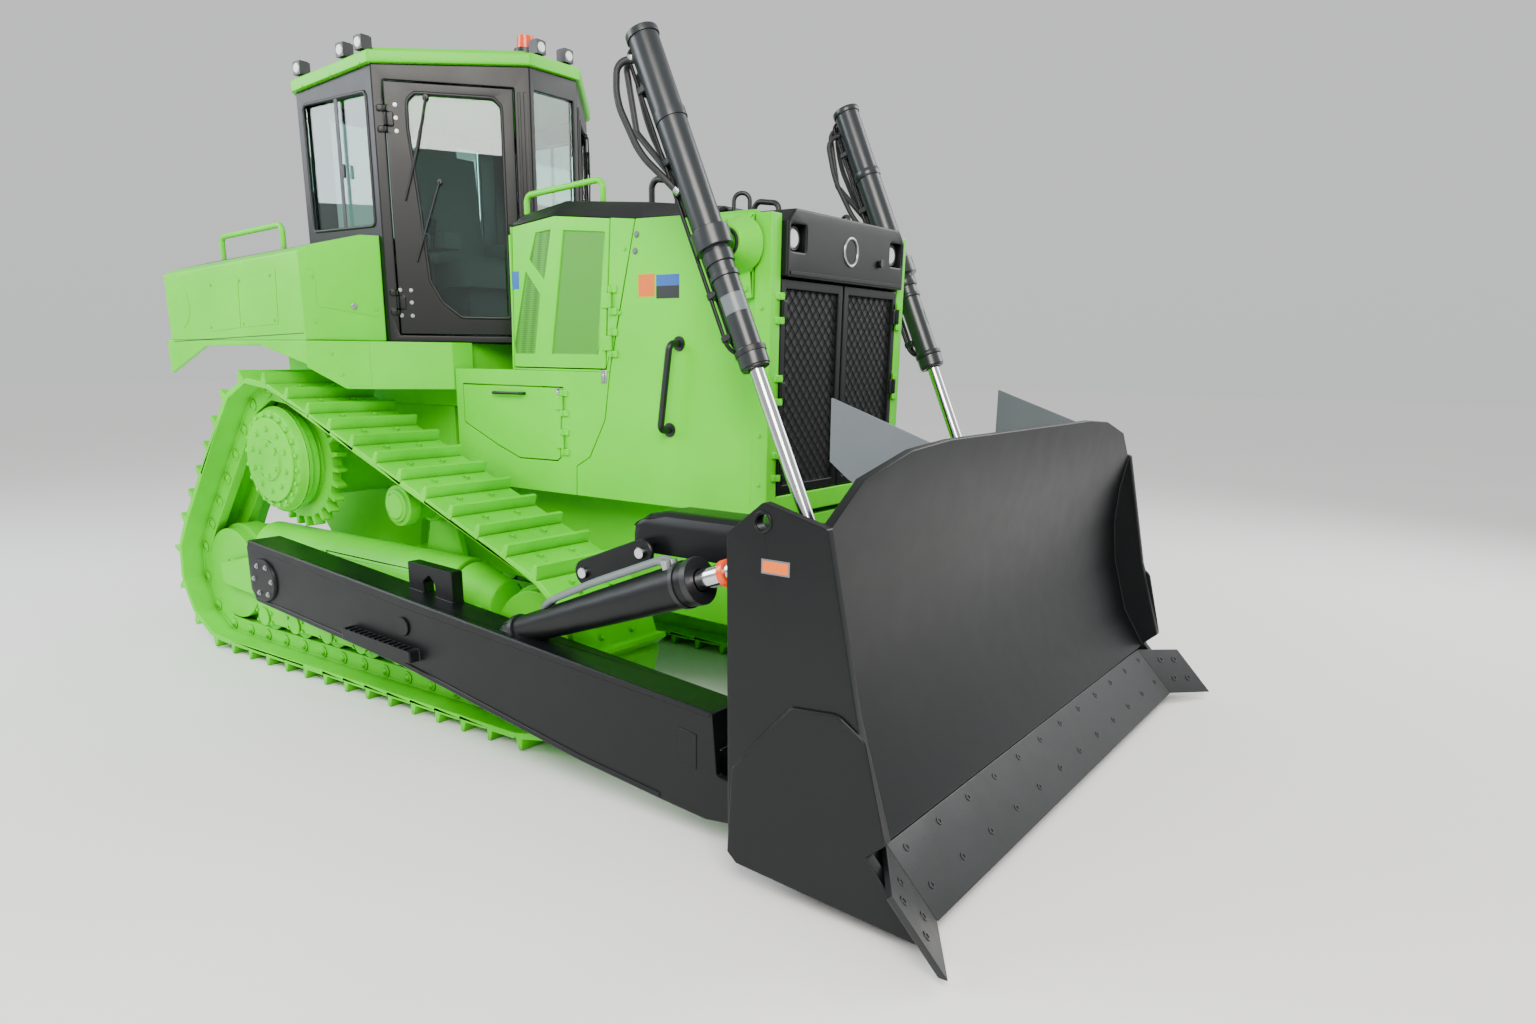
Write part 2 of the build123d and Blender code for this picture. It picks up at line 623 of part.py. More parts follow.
with BuildPart() as hood:
    for x, half, low, rise in HOOD_SECTIONS:
        with BuildSketch(Plane.YZ.offset(x)):
            with BuildLine():
                Polyline(*hood_section(half, low + SEAT, low + SEAT + rise, SHEET), close=True)
            make_face()
    loft(ruled=True)
keep("hood_cover", hood.part)

# Radiator guard: posts, top cowl, yoke housings
POST_IN = HOOD_HALF - 63
guard = joined(
    side_prism([(GUARD_REAR, SIDE_BOTTOM), (GUARD_FRONT, SIDE_BOTTOM), (GUARD_FRONT, HOOD_Z_FRONT - 15),
                (GUARD_REAR, HOOD_Z_FRONT - 15)], -HOOD_HALF - 14, -POST_IN),
    side_prism([(GUARD_REAR, SIDE_BOTTOM), (GUARD_FRONT, SIDE_BOTTOM), (GUARD_FRONT, HOOD_Z_FRONT - 15),
                (GUARD_REAR, HOOD_Z_FRONT - 15)], POST_IN, HOOD_HALF + 14),
    block(GUARD_REAR, GUARD_FRONT, -HOOD_HALF - 14, HOOD_HALF + 14, SIDE_BOTTOM,
          GRILLE_BOTTOM - 8),
)
cowl = front_prism([(-POST_IN + SEAT, GRILLE_TOP + 8), (POST_IN - SEAT, GRILLE_TOP + 8),
                    (POST_IN - SEAT, 2470), (POST_IN - 60, 2525), (-POST_IN + 60, 2525),
                    (-POST_IN + SEAT, 2470)], GUARD_FRONT - 330 + 4, GUARD_FRONT + 30)
lamp_pockets = [block(GUARD_FRONT - 60, GUARD_FRONT + 31, s * 455 - 62, s * 455 + 62, 2350, 2462)
                for s in (-1, 1)]
cowl = cut(cowl, *lamp_pockets)
keep("front_cowl", cowl)
lamps = [bar((GUARD_FRONT - 60 + SEAT, s * 455, 2406), (GUARD_FRONT - 5, s * 455, 2406), 48)
         for s in (-1, 1)]
keep("headlamps", Compound(children=lamps))

# Yoke housings for the lift cylinders, on the guard's sides
TX, TZ = LIFT_TRUNNION
HOUSING_OUT = 742.0
STUB_R = 35.0
housing = cut(
    joined(
        side_prism([(GUARD_FRONT - 270, 2150), (GUARD_FRONT - 95, 2150), (GUARD_FRONT - 95, 2500),
                    (GUARD_FRONT - 300, 2500)], -HOOD_HALF - 30, -HOOD_HALF - SEAT),
        bar((TX, -HOOD_HALF - 29, TZ), (TX, -HOUSING_OUT, TZ), 120, 72)),
    bar((TX, -HOOD_HALF - 40, TZ), (TX, -HOUSING_OUT - 1, TZ), STUB_R + PLAY))
keep_both("yoke_housings", housing)
GRILLE_AXIS = (GUARD_FRONT + STANDOFF, -POST_IN + 3)
grille_knuckles, grille_hinge = hinge(GRILLE_AXIS, (0, 1), (-1, 0), (1420, 1760, 2110))
keep("radiator_guard", joined(guard, grille_hinge, left_of(grille_hinge)))

# Grille doors: a frame with a mesh panel
GRILLE_X = GUARD_FRONT - 40.0
GRILLE_IN = 7.0
door_outline = [(-POST_IN + 6, GRILLE_BOTTOM), (-GRILLE_IN, GRILLE_BOTTOM),
                (-GRILLE_IN, GRILLE_TOP), (-POST_IN + 6, GRILLE_TOP)]
window = [(-POST_IN + 46, GRILLE_BOTTOM + 40), (-GRILLE_IN - 40, GRILLE_BOTTOM + 40),
          (-GRILLE_IN - 40, GRILLE_TOP - 40), (-POST_IN + 46, GRILLE_TOP - 40)]
grille_mesh = front_prism(window, GRILLE_X + 14, GRILLE_X + 22)
keep_pair("grille_door", joined(
    cut(front_prism(door_outline, GRILLE_X, GUARD_FRONT),
        front_prism(window, GRILLE_X - 1, GUARD_FRONT + 1)), grille_mesh, grille_knuckles))

# ---------------------------------------------------------------- cab
CAB_PLAN = [(CAB_FRONT_X, -CAB_FRONT_HALF), (CAB_DOOR_REAR_X, -CAB_HALF),
            (CAB_REAR_X + 110, -CAB_HALF), (CAB_REAR_X, -CAB_HALF + 110),
            (CAB_REAR_X, CAB_HALF - 110), (CAB_REAR_X + 110, CAB_HALF),
            (CAB_DOOR_REAR_X, CAB_HALF), (CAB_FRONT_X, CAB_FRONT_HALF)]


DOOR_RUN = math.hypot(CAB_FRONT_X - CAB_DOOR_REAR_X, CAB_HALF - CAB_FRONT_HALF)
along = ((CAB_FRONT_X - CAB_DOOR_REAR_X) / DOOR_RUN, (CAB_HALF - CAB_FRONT_HALF) / DOOR_RUN, 0)
DOOR_PLACE = Plane(origin=(CAB_DOOR_REAR_X, -CAB_HALF, 0), x_dir=along,
                   z_dir=(along[1], -along[0], 0))
DOOR_LOW, DOOR_HIGH = 1998.0, 3290.0
opening = [(55, DOOR_LOW), (DOOR_RUN - 85, DOOR_LOW), (DOOR_RUN - 85, DOOR_HIGH), (55, DOOR_HIGH)]
SIDE_FIXED = [(CAB_REAR_X + 165, 2570), (CAB_DOOR_REAR_X - 55, 2570),
              (CAB_DOOR_REAR_X - 55, 3236), (CAB_REAR_X + 165, 3236)]
WINDSCREEN = [(-CAB_FRONT_HALF + 30, 2640), (CAB_FRONT_HALF - 30, 2640),
              (CAB_FRONT_HALF - 30, 3290), (-CAB_FRONT_HALF + 30, 3290)]
REAR_WINDOW = [(-560, 2600), (560, 2600), (560, 3215), (-560, 3215)]



def roof_z(x):
    """Height of the wall's top at a distance along the machine."""
    return CAB_TOP + ROOF_SLOPE * (x - CAB_REAR_X)


def beyond_roof(rise, far):
    """Space on one side of a plane that lies a rise above the wall's top."""
    ends = (CAB_REAR_X - 200, CAB_FRONT_X + 200)
    return side_prism([(x, roof_z(x) + rise) for x in ends] + [(x, far) for x in ends[::-1]],
                      -CAB_HALF - 200, CAB_HALF + 200)


shell = cut(
    plan_prism(CAB_PLAN, CAB_FLOOR, CAB_TOP + 300),
    beyond_roof(0, CAB_TOP + 400),
    plan_prism(inset(CAB_PLAN, CAB_WALL), CAB_FLOOR + 25, CAB_TOP + 301),
    panel(DOOR_PLACE, opening, -CAB_WALL - 30, 30),
    side_prism(SIDE_FIXED, -CAB_HALF - 1, -CAB_HALF + CAB_WALL + 1),
    side_prism(SIDE_FIXED, CAB_HALF - CAB_WALL - 1, CAB_HALF + 1),
    front_prism(WINDSCREEN, CAB_FRONT_X - CAB_WALL - 1, CAB_FRONT_X + 1),
    front_prism(REAR_WINDOW, CAB_REAR_X - 1, CAB_REAR_X + CAB_WALL + 1),
)
shell = cut(shell, left_of(panel(DOOR_PLACE, opening, -CAB_WALL - 30, 30)))
OUTWARD = (along[1], -along[0])
DOOR_AXIS = (CAB_DOOR_REAR_X + along[0] * 58 + OUTWARD[0] * STANDOFF,
             -CAB_HALF + along[1] * 58 + OUTWARD[1] * STANDOFF)
door_knuckles, door_hinge = hinge(DOOR_AXIS, along, (-OUTWARD[0], -OUTWARD[1]), (2170, 3100))
shell = joined(shell, door_hinge, left_of(door_hinge))
keep("cab_shell", shell)

roof = joined(*[
    cut(plan_prism(inset(CAB_PLAN, by), CAB_TOP - 100, CAB_TOP + 300), beyond_roof(low, 3000),
        beyond_roof(high, CAB_TOP + 400))
    for by, low, high in ((-25, SEAT, 62), (45, 61, ROOF_RISE))])
keep("cab_roof", roof)


panes = [
    side_prism(inset(SIDE_FIXED, SEAT), -CAB_HALF + 18, -CAB_HALF + 26),
    side_prism(inset(SIDE_FIXED, SEAT), CAB_HALF - 26, CAB_HALF - 18),
    front_prism(inset(WINDSCREEN, SEAT), CAB_FRONT_X - 26, CAB_FRONT_X - 18),
    front_prism(inset(REAR_WINDOW, SEAT), CAB_REAR_X + 18, CAB_REAR_X + 26),
]
keep("cab_windows", Compound(children=panes))

leaf = inset(opening, 6)
GLASS_FRONT = DOOR_RUN - 155
DOOR_GLASS = [(172, 3195), (212, 3235), (GLASS_FRONT - 40, 3235), (GLASS_FRONT, 3195),
              (GLASS_FRONT, 2098), (400, 2098), (300, 2175), (238, 2290), (205, 2700), (170, 3060)]
cab_door = cut(panel(DOOR_PLACE, leaf, -38, 0), panel(DOOR_PLACE, DOOR_GLASS, -39, 1))
keep_pair("cab_door", joined(cab_door, door_knuckles))
keep_pair("door_glass", panel(DOOR_PLACE, inset(DOOR_GLASS, SEAT), -24, -16))

# Seat and console in the cab
FLOOR = CAB_FLOOR + 25 + SEAT
seat = joined(
    block(-1500, -1120, -170, 170, FLOOR, FLOOR + 300),
    block(-1560, -1040, -260, 260, FLOOR + 299, FLOOR + 440),
    side_prism([(-1560, FLOOR + 420), (-1430, FLOOR + 420), (-1500, FLOOR + 1090),
                (-1610, FLOOR + 1090)], -240, 240),
    block(-1480, -1060, -390, -262, FLOOR + 500, FLOOR + 590),
    block(-1480, -1060, 262, 390, FLOOR + 500, FLOOR + 590),
    block(-1440, -1320, -360, 360, FLOOR + 300, FLOOR + 505),
)
keep("seat", seat)
keep("console", joined(
    side_prism([(-800, FLOOR), (-640, FLOOR), (-640, FLOOR + 620), (-720, FLOOR + 760),
                (-800, FLOOR + 560)], -160, 160)))

# ---------------------------------------------------------------- fenders and tanks
TANK_FRONT_OUT, TANK_FRONT_IN = -1250.0, -1075.0
TANK_IN = CAB_HALF + SEAT
with BuildPart() as tank:
    for x, outer_top, inner_top in ((TANK_REAR, 2344.0, 2440.0), (TANK_FRONT_IN, 2430.0, 2520.0)):
        with BuildSketch(Plane.YZ.offset(x)):
            with BuildLine():
                Polyline((-FENDER_OUT, DECK_Z + SEAT), (-FENDER_OUT, outer_top),
                         (-FENDER_OUT + 60, outer_top + 30), (-TANK_IN - 90, inner_top),
                         (-TANK_IN, inner_top), (-TANK_IN, DECK_Z + SEAT), close=True)
            make_face()
    loft(ruled=True)
tank_body = cut(tank.part, plan_prism([(TANK_FRONT_OUT, -FENDER_OUT - 1), (-900, -FENDER_OUT - 1),
                                       (-900, -TANK_IN + 1), (TANK_FRONT_IN, -TANK_IN + 1)],
                                      DECK_Z - 1, 2700))


DECK_PLAN = [(TANK_REAR - 50, -FENDER_OUT), (TANK_FRONT_OUT, -FENDER_OUT), (-990, -950),
             (-762, -HOOD_HALF - 4), (-762, -470), (TANK_REAR - 50, -470)]
deck = plan_prism(DECK_PLAN, DECK_Z - SKIRT, DECK_Z)
side_skirt = side_prism([(TANK_REAR - 50, DECK_Z), (TANK_REAR - 46, 1759), (-2330, 1925),
                         (-1720, 1935), (TANK_FRONT_OUT, 1830), (TANK_FRONT_OUT, DECK_Z)],
                        -FENDER_OUT, -FENDER_OUT + SKIRT)
front_skirt = cut(
    plan_prism(DECK_PLAN, 1705, DECK_Z - SKIRT + 1),
    plan_prism([(TANK_REAR - 51, -FENDER_OUT - 1), (TANK_FRONT_OUT - 12, -FENDER_OUT - 1),
                (TANK_FRONT_OUT - 12, -FENDER_OUT + SKIRT - 4), (-1020, -950 + 20),
                (-796, -HOOD_HALF + 10), (-796, -469), (TANK_REAR - 51, -469)], 1704, DECK_Z),
    side_prism([(TANK_FRONT_OUT - 30, 1840), (-1110, 1704), (TANK_FRONT_OUT - 30, 1704)],
               -FENDER_OUT - 1, -400))
keep_both("fenders", joined(deck, side_skirt, front_skirt))

rear_tank = side_prism([(TANK_REAR, DECK_Z + SEAT), (CAB_REAR_X - 30, DECK_Z + SEAT),
                        (CAB_REAR_X - 30, 2500), (TANK_REAR + 120, 2440), (TANK_REAR, 2330)],
                       -TANK_IN - 1, TANK_IN + 1)
keep("tanks", joined(tank_body, left_of(tank_body), rear_tank))

# ---------------------------------------------------------------- handrails, lamps, beacon
RAIL_R = 15.0


def tank_top(x, y):
    """Height of a side tank's sloping top on the machine's right."""
    share = (x - TANK_REAR) / (TANK_FRONT_IN - TANK_REAR)
    outer = 2344.0 + 30 + share * (2430.0 - 2344.0)
    inner = 2440.0 + share * (2520.0 - 2440.0)
    across = (y + FENDER_OUT - 60) / (FENDER_OUT - 60 - TANK_IN - 90)
    return outer + across * (inner - outer)


def hood_top(x):
    """Height of the hood cover's flat top at a distance along the machine."""
    for (x0, _, z0, rise0), (x1, _, z1, rise1) in zip(HOOD_SECTIONS, HOOD_SECTIONS[1:]):
        if x <= x1:
            break
    share = (x - x0) / (x1 - x0)
    return (1 - share) * (z0 + rise0) + share * (z1 + rise1) + SEAT


def rail(feet, y, rises, top, bend):
    """Grab rail on two feet: their x, the rises of its two bends and the surface under it."""
    (back, front), (rise_back, rise_front) = feet, rises
    seats = [max(top(x - RAIL_R), top(x + RAIL_R)) for x in feet]
    return round_bar([(back, y, seats[0]), (back, y, top(back) + rise_back),
                      (front, y, top(front) + rise_front), (front, y, seats[1])], RAIL_R, bend)


RAIL_Y, TANK_RAIL_Y = -440.0, -1080.0
tank_rail = rail((-2230, -1580), TANK_RAIL_Y, (125, 125),
                 lambda x: tank_top(x, TANK_RAIL_Y + RAIL_R), 35)
hood_rail = rail((-300, 250), RAIL_Y, (95, 110), lambda x: hood_top(x) + 1, 40)
keep_both("green_rails", tank_rail, hood_rail)
nose_rail = rail((560, 720), -430.0, (110, 105), lambda x: hood_top(x) + 1, 40)
keep_both("black_rails", nose_rail, handle)
LAMP = 66.0
lamp_spots = [(CAB_FRONT_X - 10, s * 105) for s in (-1, 1)] \
    + [(x, s * (CAB_HALF - 10)) for x in (CAB_DOOR_REAR_X - 62, CAB_DOOR_REAR_X - 225,
                                          CAB_REAR_X + 172) for s in (-1, 1)]


def lamp(x, y):
    """Work lamp on the ledge round the roof."""
    ledge = roof_z(x) + 62 + SEAT
    return joined(block(x - LAMP / 2, x + LAMP / 2, y - LAMP / 2, y + LAMP / 2, ledge + 12,
                        ledge + 12 + LAMP),
                  cut(block(x - 14, x + 14, y - 14, y + 14, ledge - 5, ledge + 13),
                      beyond_roof(62 + SEAT, 3000)))


keep("roof_lamps", Compound(children=[lamp(x, y) for x, y in lamp_spots]))
BEACON = (CAB_FRONT_X - 106, -100.0)
beacon_base = roof_z(BEACON[0]) + ROOF_RISE
keep("beacon", joined(
    cut(bar((*BEACON, beacon_base - 10), (*BEACON, beacon_base + 25), 56),
        beyond_roof(ROOF_RISE + SEAT, 3000)),
    bar((*BEACON, beacon_base + 24), (*BEACON, beacon_base + 95), 50, 44)))

# ---------------------------------------------------------------- lift cylinders
lift_dx, lift_dz = LIFT_EYE[0] - TX, LIFT_EYE[1] - TZ
LIFT_LENGTH = math.hypot(lift_dx, lift_dz)
LU = (lift_dx / LIFT_LENGTH, lift_dz / LIFT_LENGTH)
BARREL_UP, BARREL_DOWN = 912.0, 560.0
LIFT_PISTON = 1600.0


def on_lift(s):
    """Point on the right lift cylinder's axis at a distance below its trunnion."""
    return (TX + LU[0] * s, -LIFT_Y, TZ + LU[1] * s)


barrel = cut(
    joined(bar(on_lift(-BARREL_UP), on_lift(20), BARREL_R),
           bar(on_lift(-40), on_lift(45), BARREL_R + 18),
           bar(on_lift(19), on_lift(BARREL_DOWN - 80), BARREL_THIN_R),
           bar(on_lift(BARREL_DOWN - 81), on_lift(BARREL_DOWN), BARREL_THIN_R + 8),
           bar((TX, -LIFT_Y + 40, TZ), (TX, -HOOD_HALF - 60, TZ), STUB_R)),
    bar(on_lift(-BARREL_UP + 30), on_lift(BARREL_DOWN - 60), 44.0),
    bar(on_lift(BARREL_DOWN - 61), on_lift(BARREL_DOWN + 1), LIFT_ROD_R + PLAY),
)
keep_pair("lift_barrel", barrel)
eye = cut(bar((LIFT_EYE[0], -LIFT_Y - 45, LIFT_EYE[1]), (LIFT_EYE[0], -LIFT_Y + 45, LIFT_EYE[1]), 70),
          bar((LIFT_EYE[0], -LIFT_Y - 46, LIFT_EYE[1]), (LIFT_EYE[0], -LIFT_Y + 46, LIFT_EYE[1]), 34))
lift_rod = joined(bar(on_lift(LIFT_LENGTH - LIFT_PISTON), on_lift(LIFT_LENGTH - 60), LIFT_ROD_R), eye)
keep_pair("lift_rod", lift_rod)


def beside(s, out, back):
    """Point beside the right lift cylinder: along it, outward in y and behind it."""
    x, y, z = on_lift(s)
    return (x + LU[1] * back, y - out, z - LU[0] * back)


hose = round_bar([beside(-BARREL_UP + 60, 0, BARREL_R + SEAT),
                  beside(-BARREL_UP + 60, 0, BARREL_R + 60),
                  beside(-BARREL_UP + 330, 0, BARREL_R + 120), beside(-BARREL_UP + 560, 0, BARREL_R + 30),
                  beside(-150, 0, BARREL_R + 14.5)], 14, 35)
keep_pair("lift_hose", hose)

# ---------------------------------------------------------------- push arms and tilt cylinders
ARM_SIDE = [(-1540, 872), (1765, 575), (1790, 320), (1860, 310), (1975, 250), (1975, 190),
            (1930, 142), (1735, 118), (1499, 140), (1054, 190), (-167, 385), (-1510, 520),
            (-1560, 580), (-1560, 840)]
arm = joined(side_prism(ARM_SIDE, -ARM_OUTER, -ARM_INNER))
BORE = 62.0
arm = cut(
    arm,
    bar((TRUNNION[0], -ARM_INNER + 1, TRUNNION[1]), (TRUNNION[0], -ARM_OUTER + 28, TRUNNION[1]), BORE),
    # slot of the front fork
    block(1780, 2000, -ARM_Y - 65, -ARM_Y + 65, 100, 420),
)
arm_pin = bar((ARM_PIN[0], -ARM_OUTER + 10, ARM_PIN[1]), (ARM_PIN[0], -ARM_INNER - 10, ARM_PIN[1]), 35)
BRACE = Vector(BRACE_HEAD[0] - BRACE_FOOT[0], BRACE_HEAD[1] - BRACE_FOOT[1])
BU = (BRACE.X / BRACE.length, BRACE.Y / BRACE.length)


def on_brace(s):
    """Point on the right tilt cylinder's axis at a distance from its foot."""
    return (BRACE_FOOT[0] + BU[0] * s, -ARM_Y, BRACE_FOOT[1] + BU[1] * s)


TILT_BARREL, TILT_ROD_R = 1170.0, 42.0
tilt_barrel = cut(
    joined(bar(on_brace(0), on_brace(TILT_BARREL - 60), 62, 92),
           bar(on_brace(TILT_BARREL - 61), on_brace(TILT_BARREL), 92)),
    bar(on_brace(TILT_BARREL - 330), on_brace(TILT_BARREL - 40), 48.0),
    bar(on_brace(TILT_BARREL - 41), on_brace(TILT_BARREL + 1), TILT_ROD_R + PLAY))
u_bracket = cut(
    side_prism([(-265, 740), (-265, 895), (75, 880), (75, 710)], -ARM_INNER - 70, -ARM_INNER),
    side_prism([(-150, 730), (-150, 800), (-100, 840), (-60, 800), (-60, 730)], -ARM_INNER - 71,
               -ARM_INNER + 1))
step = side_prism([(-600, 470), (-40, 440), (-40, 500), (-600, 530)], -ARM_OUTER - 60, -ARM_OUTER + 5)
arm = joined(arm, arm_pin, tilt_barrel, u_bracket, step)
keep_pair("push_arm", arm)
keep_pair("tilt_rod", joined(bar(on_brace(TILT_BARREL - 300), on_brace(BRACE.length - 50), TILT_ROD_R),
                             bar(tuple(on_brace(BRACE.length)[i] + (0, 32, 0)[i] for i in range(3)),
                                 tuple(on_brace(BRACE.length)[i] - (0, 32, 0)[i] for i in range(3)),
                                 66.0)))
keep_both("trunnion_balls", cut(
    bar((TRUNNION[0], -ARM_INNER - 6, TRUNNION[1]), (TRUNNION[0], -ARM_OUTER + 36, TRUNNION[1]),
        BORE - 0.4),
    bar((TRUNNION[0], -ARM_INNER, TRUNNION[1]), (TRUNNION[0], -ARM_OUTER, TRUNNION[1]), 50.4)))

# ---------------------------------------------------------------- blade
FACE = [(2352, 1378), (2322, 1200), (2315, 1000), (2342, 780), (2432, 490), (2560, 288)]
BACK = 36.0
EDGE_TOP, EDGE_FRONT = (2560.0, 288.0), (2772.0, EDGE_BOTTOM)
EDGE_THICK, LIP = 28.0, 170.0
edge_run = math.dist(EDGE_TOP, EDGE_FRONT)
EDGE_ALONG = ((EDGE_FRONT[0] - EDGE_TOP[0]) / edge_run, (EDGE_FRONT[1] - EDGE_TOP[1]) / edge_run)


def on_edge(along_edge, behind):
    """Point of the cutting edge's section: a distance down it and one behind its face."""
    return (EDGE_TOP[0] + along_edge * EDGE_ALONG[0] + behind * EDGE_ALONG[1],
            EDGE_TOP[1] + along_edge * EDGE_ALONG[1] - behind * EDGE_ALONG[0])


edge_side = [on_edge(SEAT, 0), EDGE_FRONT, on_edge(edge_run - 25, EDGE_THICK),
             on_edge(SEAT, EDGE_THICK)]
lip_side = [on_edge(0, EDGE_THICK + SEAT), on_edge(LIP, EDGE_THICK + SEAT),
            on_edge(LIP, EDGE_THICK + 30), on_edge(-40, EDGE_THICK + 30)]
board_back = [(x - BACK, z) for x, z in FACE]
top_line = [(-BLADE_HALF + 40, 1378), (-1470, 1520), (-1130, 1596), (-830, BLADE_TOP),
            (830, BLADE_TOP), (1130, 1596), (1470, 1520), (BLADE_HALF - 40, 1378)]
board_side = [(2372, BLADE_TOP + 1)] + FACE + [on_edge(0, EDGE_THICK + 4)] + board_back[::-1] \
    + [(2372 - BACK, BLADE_TOP + 1)]
board = side_prism(board_side, -BLADE_HALF + 40, BLADE_HALF - 40)
crown = front_prism([(-BLADE_HALF + 39, BLADE_TOP + 60)] + top_line
                    + [(BLADE_HALF - 39, BLADE_TOP + 60)], 2200, 2500)
board = cut(board, crown)

rear_box = side_prism([(2010, 175), (2540, 215), (2531, 300), (2400, 480), (2320, 560), (2010, 560)],
                      -BLADE_HALF + 41, BLADE_HALF - 41)
channel = side_prism([(2150, 1230), (2300, 1230), (2318, 1340), (2150, 1340)],
                     -BLADE_HALF + 41, BLADE_HALF - 41)
ribs = [side_prism([(2020, 550), (2330, 550), (2300, 1240), (2160, 1240)], y - 12, y + 12)
        for y in (-1100, -600, -200, 200, 600, 1100)]
end_side = [(2115, 1446), (1965, 1326), (1990, 143), (2030, 105), (2560, 62), (2815, 45),
            (2830, 90), (2640, 345), (2501, 773), (2362, 1382)]
patch_side = [(2010, 480), (2081, 565), (2249, 758), (2434, 772), (2534, 706), (2638, 345),
              (2815, 92), (2800, 50), (2560, 66), (2036, 109), (1995, 145)]
ends = [side_prism(end_side, -BLADE_HALF, -BLADE_HALF + 40),
        side_prism(end_side, BLADE_HALF - 40, BLADE_HALF),
        side_prism(patch_side, -BLADE_HALF - 12, -BLADE_HALF + 1),
        side_prism(patch_side, BLADE_HALF - 1, BLADE_HALF + 12)]
hole = bar((2115, -BLADE_HALF - 1, 1380), (2115, BLADE_HALF + 1, 1380), 26)


def lugs(x, z, radius, y, inner, thick, root):
    """Pair of lugs about one pin, running forward to the blade's back."""
    pieces = []
    for side in (-1, 1):
        low = y + side * inner if side > 0 else y - inner - thick
        pieces.append(joined(
            bar((x, low, z), (x, low + thick, z), radius),
            block(x, root, low, low + thick, z - radius, z + radius)))
    return joined(*pieces)


lift_lugs = lugs(LIFT_EYE[0], LIFT_EYE[1], 85, -LIFT_Y, 78, 30, 2330)
brace_lugs = lugs(BRACE_HEAD[0], BRACE_HEAD[1], 75, -ARM_Y, 94, 26, FACE[1][0] - BACK / 2)
PIN_X, PIN_Z = ARM_PIN
PIN_R, DRIFT = 35.0, 10.0        # the pin travels in a short slot as the blade tilts


def slot(radius, low, high):
    """Slot along x for the arm's pin, between two values of y."""
    return joined(bar((PIN_X - DRIFT, low, PIN_Z), (PIN_X - DRIFT, high, PIN_Z), radius),
                  bar((PIN_X + DRIFT, low, PIN_Z), (PIN_X + DRIFT, high, PIN_Z), radius),
                  block(PIN_X - DRIFT, PIN_X + DRIFT, low, high, PIN_Z - radius, PIN_Z + radius))


arm_lug = joined(
    cut(joined(bar((PIN_X, -ARM_Y - 38, PIN_Z), (PIN_X, -ARM_Y + 38, PIN_Z), 76),
               block(PIN_X, 2020, -ARM_Y - 38, -ARM_Y + 38, PIN_Z - 45, PIN_Z + 76)),
        slot(50, -ARM_Y - 39, -ARM_Y + 39)),
    cut(joined(bar((PIN_X, -ARM_Y - 5, PIN_Z), (PIN_X, -ARM_Y + 5, PIN_Z), 70)),
        slot(PIN_R + PLAY, -ARM_Y - 6, -ARM_Y + 6)))
half = joined(lift_lugs, brace_lugs, arm_lug)
COVER_REAR, COVER_FRONT, COVER_OUT = 1141.0, 2150.0 - SEAT, -1240.0
cover_side = [(COVER_REAR, 1100), (COVER_REAR, 1215), (COVER_REAR + 50, 1262),
              (COVER_REAR + 150, 1280), (COVER_FRONT, 1280), (COVER_FRONT, 1100)]
cover = cut(
    side_prism(cover_side, COVER_OUT, -1010),
    front_prism([(COVER_OUT - 1, 1238), (COVER_OUT - 1, 1290), (COVER_OUT + 50, 1290)],
                COVER_REAR - 1, COVER_FRONT + 1),
    block(COVER_FRONT - 24, COVER_FRONT + 1, -1114, -1086, 1090, 1200))
keep_both("brace_covers", cover)

BIT_LENGTH = 150.0
BIT_OUT = 162.134       # how far a bit's corner reaches forward: the origin is then midway along
middle_edge = side_prism(edge_side, -BLADE_HALF + BIT_LENGTH, BLADE_HALF - BIT_LENGTH)
with BuildPart() as bit:
    for y, out, drop in ((-BLADE_HALF + BIT_LENGTH - 1.5, 0.0, 0.0),
                         (-BLADE_HALF - 113, BIT_OUT, -27.0)):
        with BuildSketch(Plane.XZ.offset(-y)):
            with BuildLine():
                Polyline(*[(x + out, z + drop) for x, z in edge_side], close=True)
            make_face()
    loft(ruled=True)
keep("cutting_edges", Compound(children=[middle_edge, bit.part, left_of(bit.part)]))

# clearance of the end plates behind the swept-out bits
at_plate = (BLADE_HALF - 40 - (BLADE_HALF - BIT_LENGTH + 1.5)) / (BIT_LENGTH + 113 - 1.5)
notch_side = [(x + BIT_OUT * at_plate, z - 27 * at_plate) for x, z in (
    on_edge(-60, EDGE_THICK + SEAT), on_edge(-60, -400), on_edge(500, -400),
    on_edge(500, EDGE_THICK + SEAT))]
notch = side_prism(notch_side, -BLADE_HALF - 15, -BLADE_HALF + 40.5)
lip = side_prism(lip_side, -BLADE_HALF + 41, BLADE_HALF - 41)
blade = cut(joined(board, lip, rear_box, channel, *ribs, *ends, half, left_of(half)), hole, notch,
            left_of(notch))
keep("blade", blade)

wing = side_prism([(1863, 1751), (2333, 1590), (2313.5, 1375), (2309, 1340 + SEAT),
                   (2150, 1340 + SEAT), (1955, 1435), (1867, 1501)], -LIFT_Y - 21, -LIFT_Y - 9)
keep_both("guard_wings", wing)

# ---------------------------------------------------------------- write
os.makedirs("parts", exist_ok=True)
for name, piece in NODES.items():
    piece.label = name
    export_step(piece, f"parts/{name}.step")
print(len(NODES), "nodes written")
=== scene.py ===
"""Looks of a crawler bulldozer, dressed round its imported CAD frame.

Frame: +X forward to the blade, +Y to the machine's left, +Z up, metres, tracks on z = 0.
Details are laid out in millimetres on the right-hand side and mirrored to the left.
"""
import json
import logging
import math
from contextlib import contextmanager
from dataclasses import dataclass, field
from enum import Enum
from typing import Callable, Iterator, Sequence

import bmesh
import bpy
from mathutils import Matrix, Vector


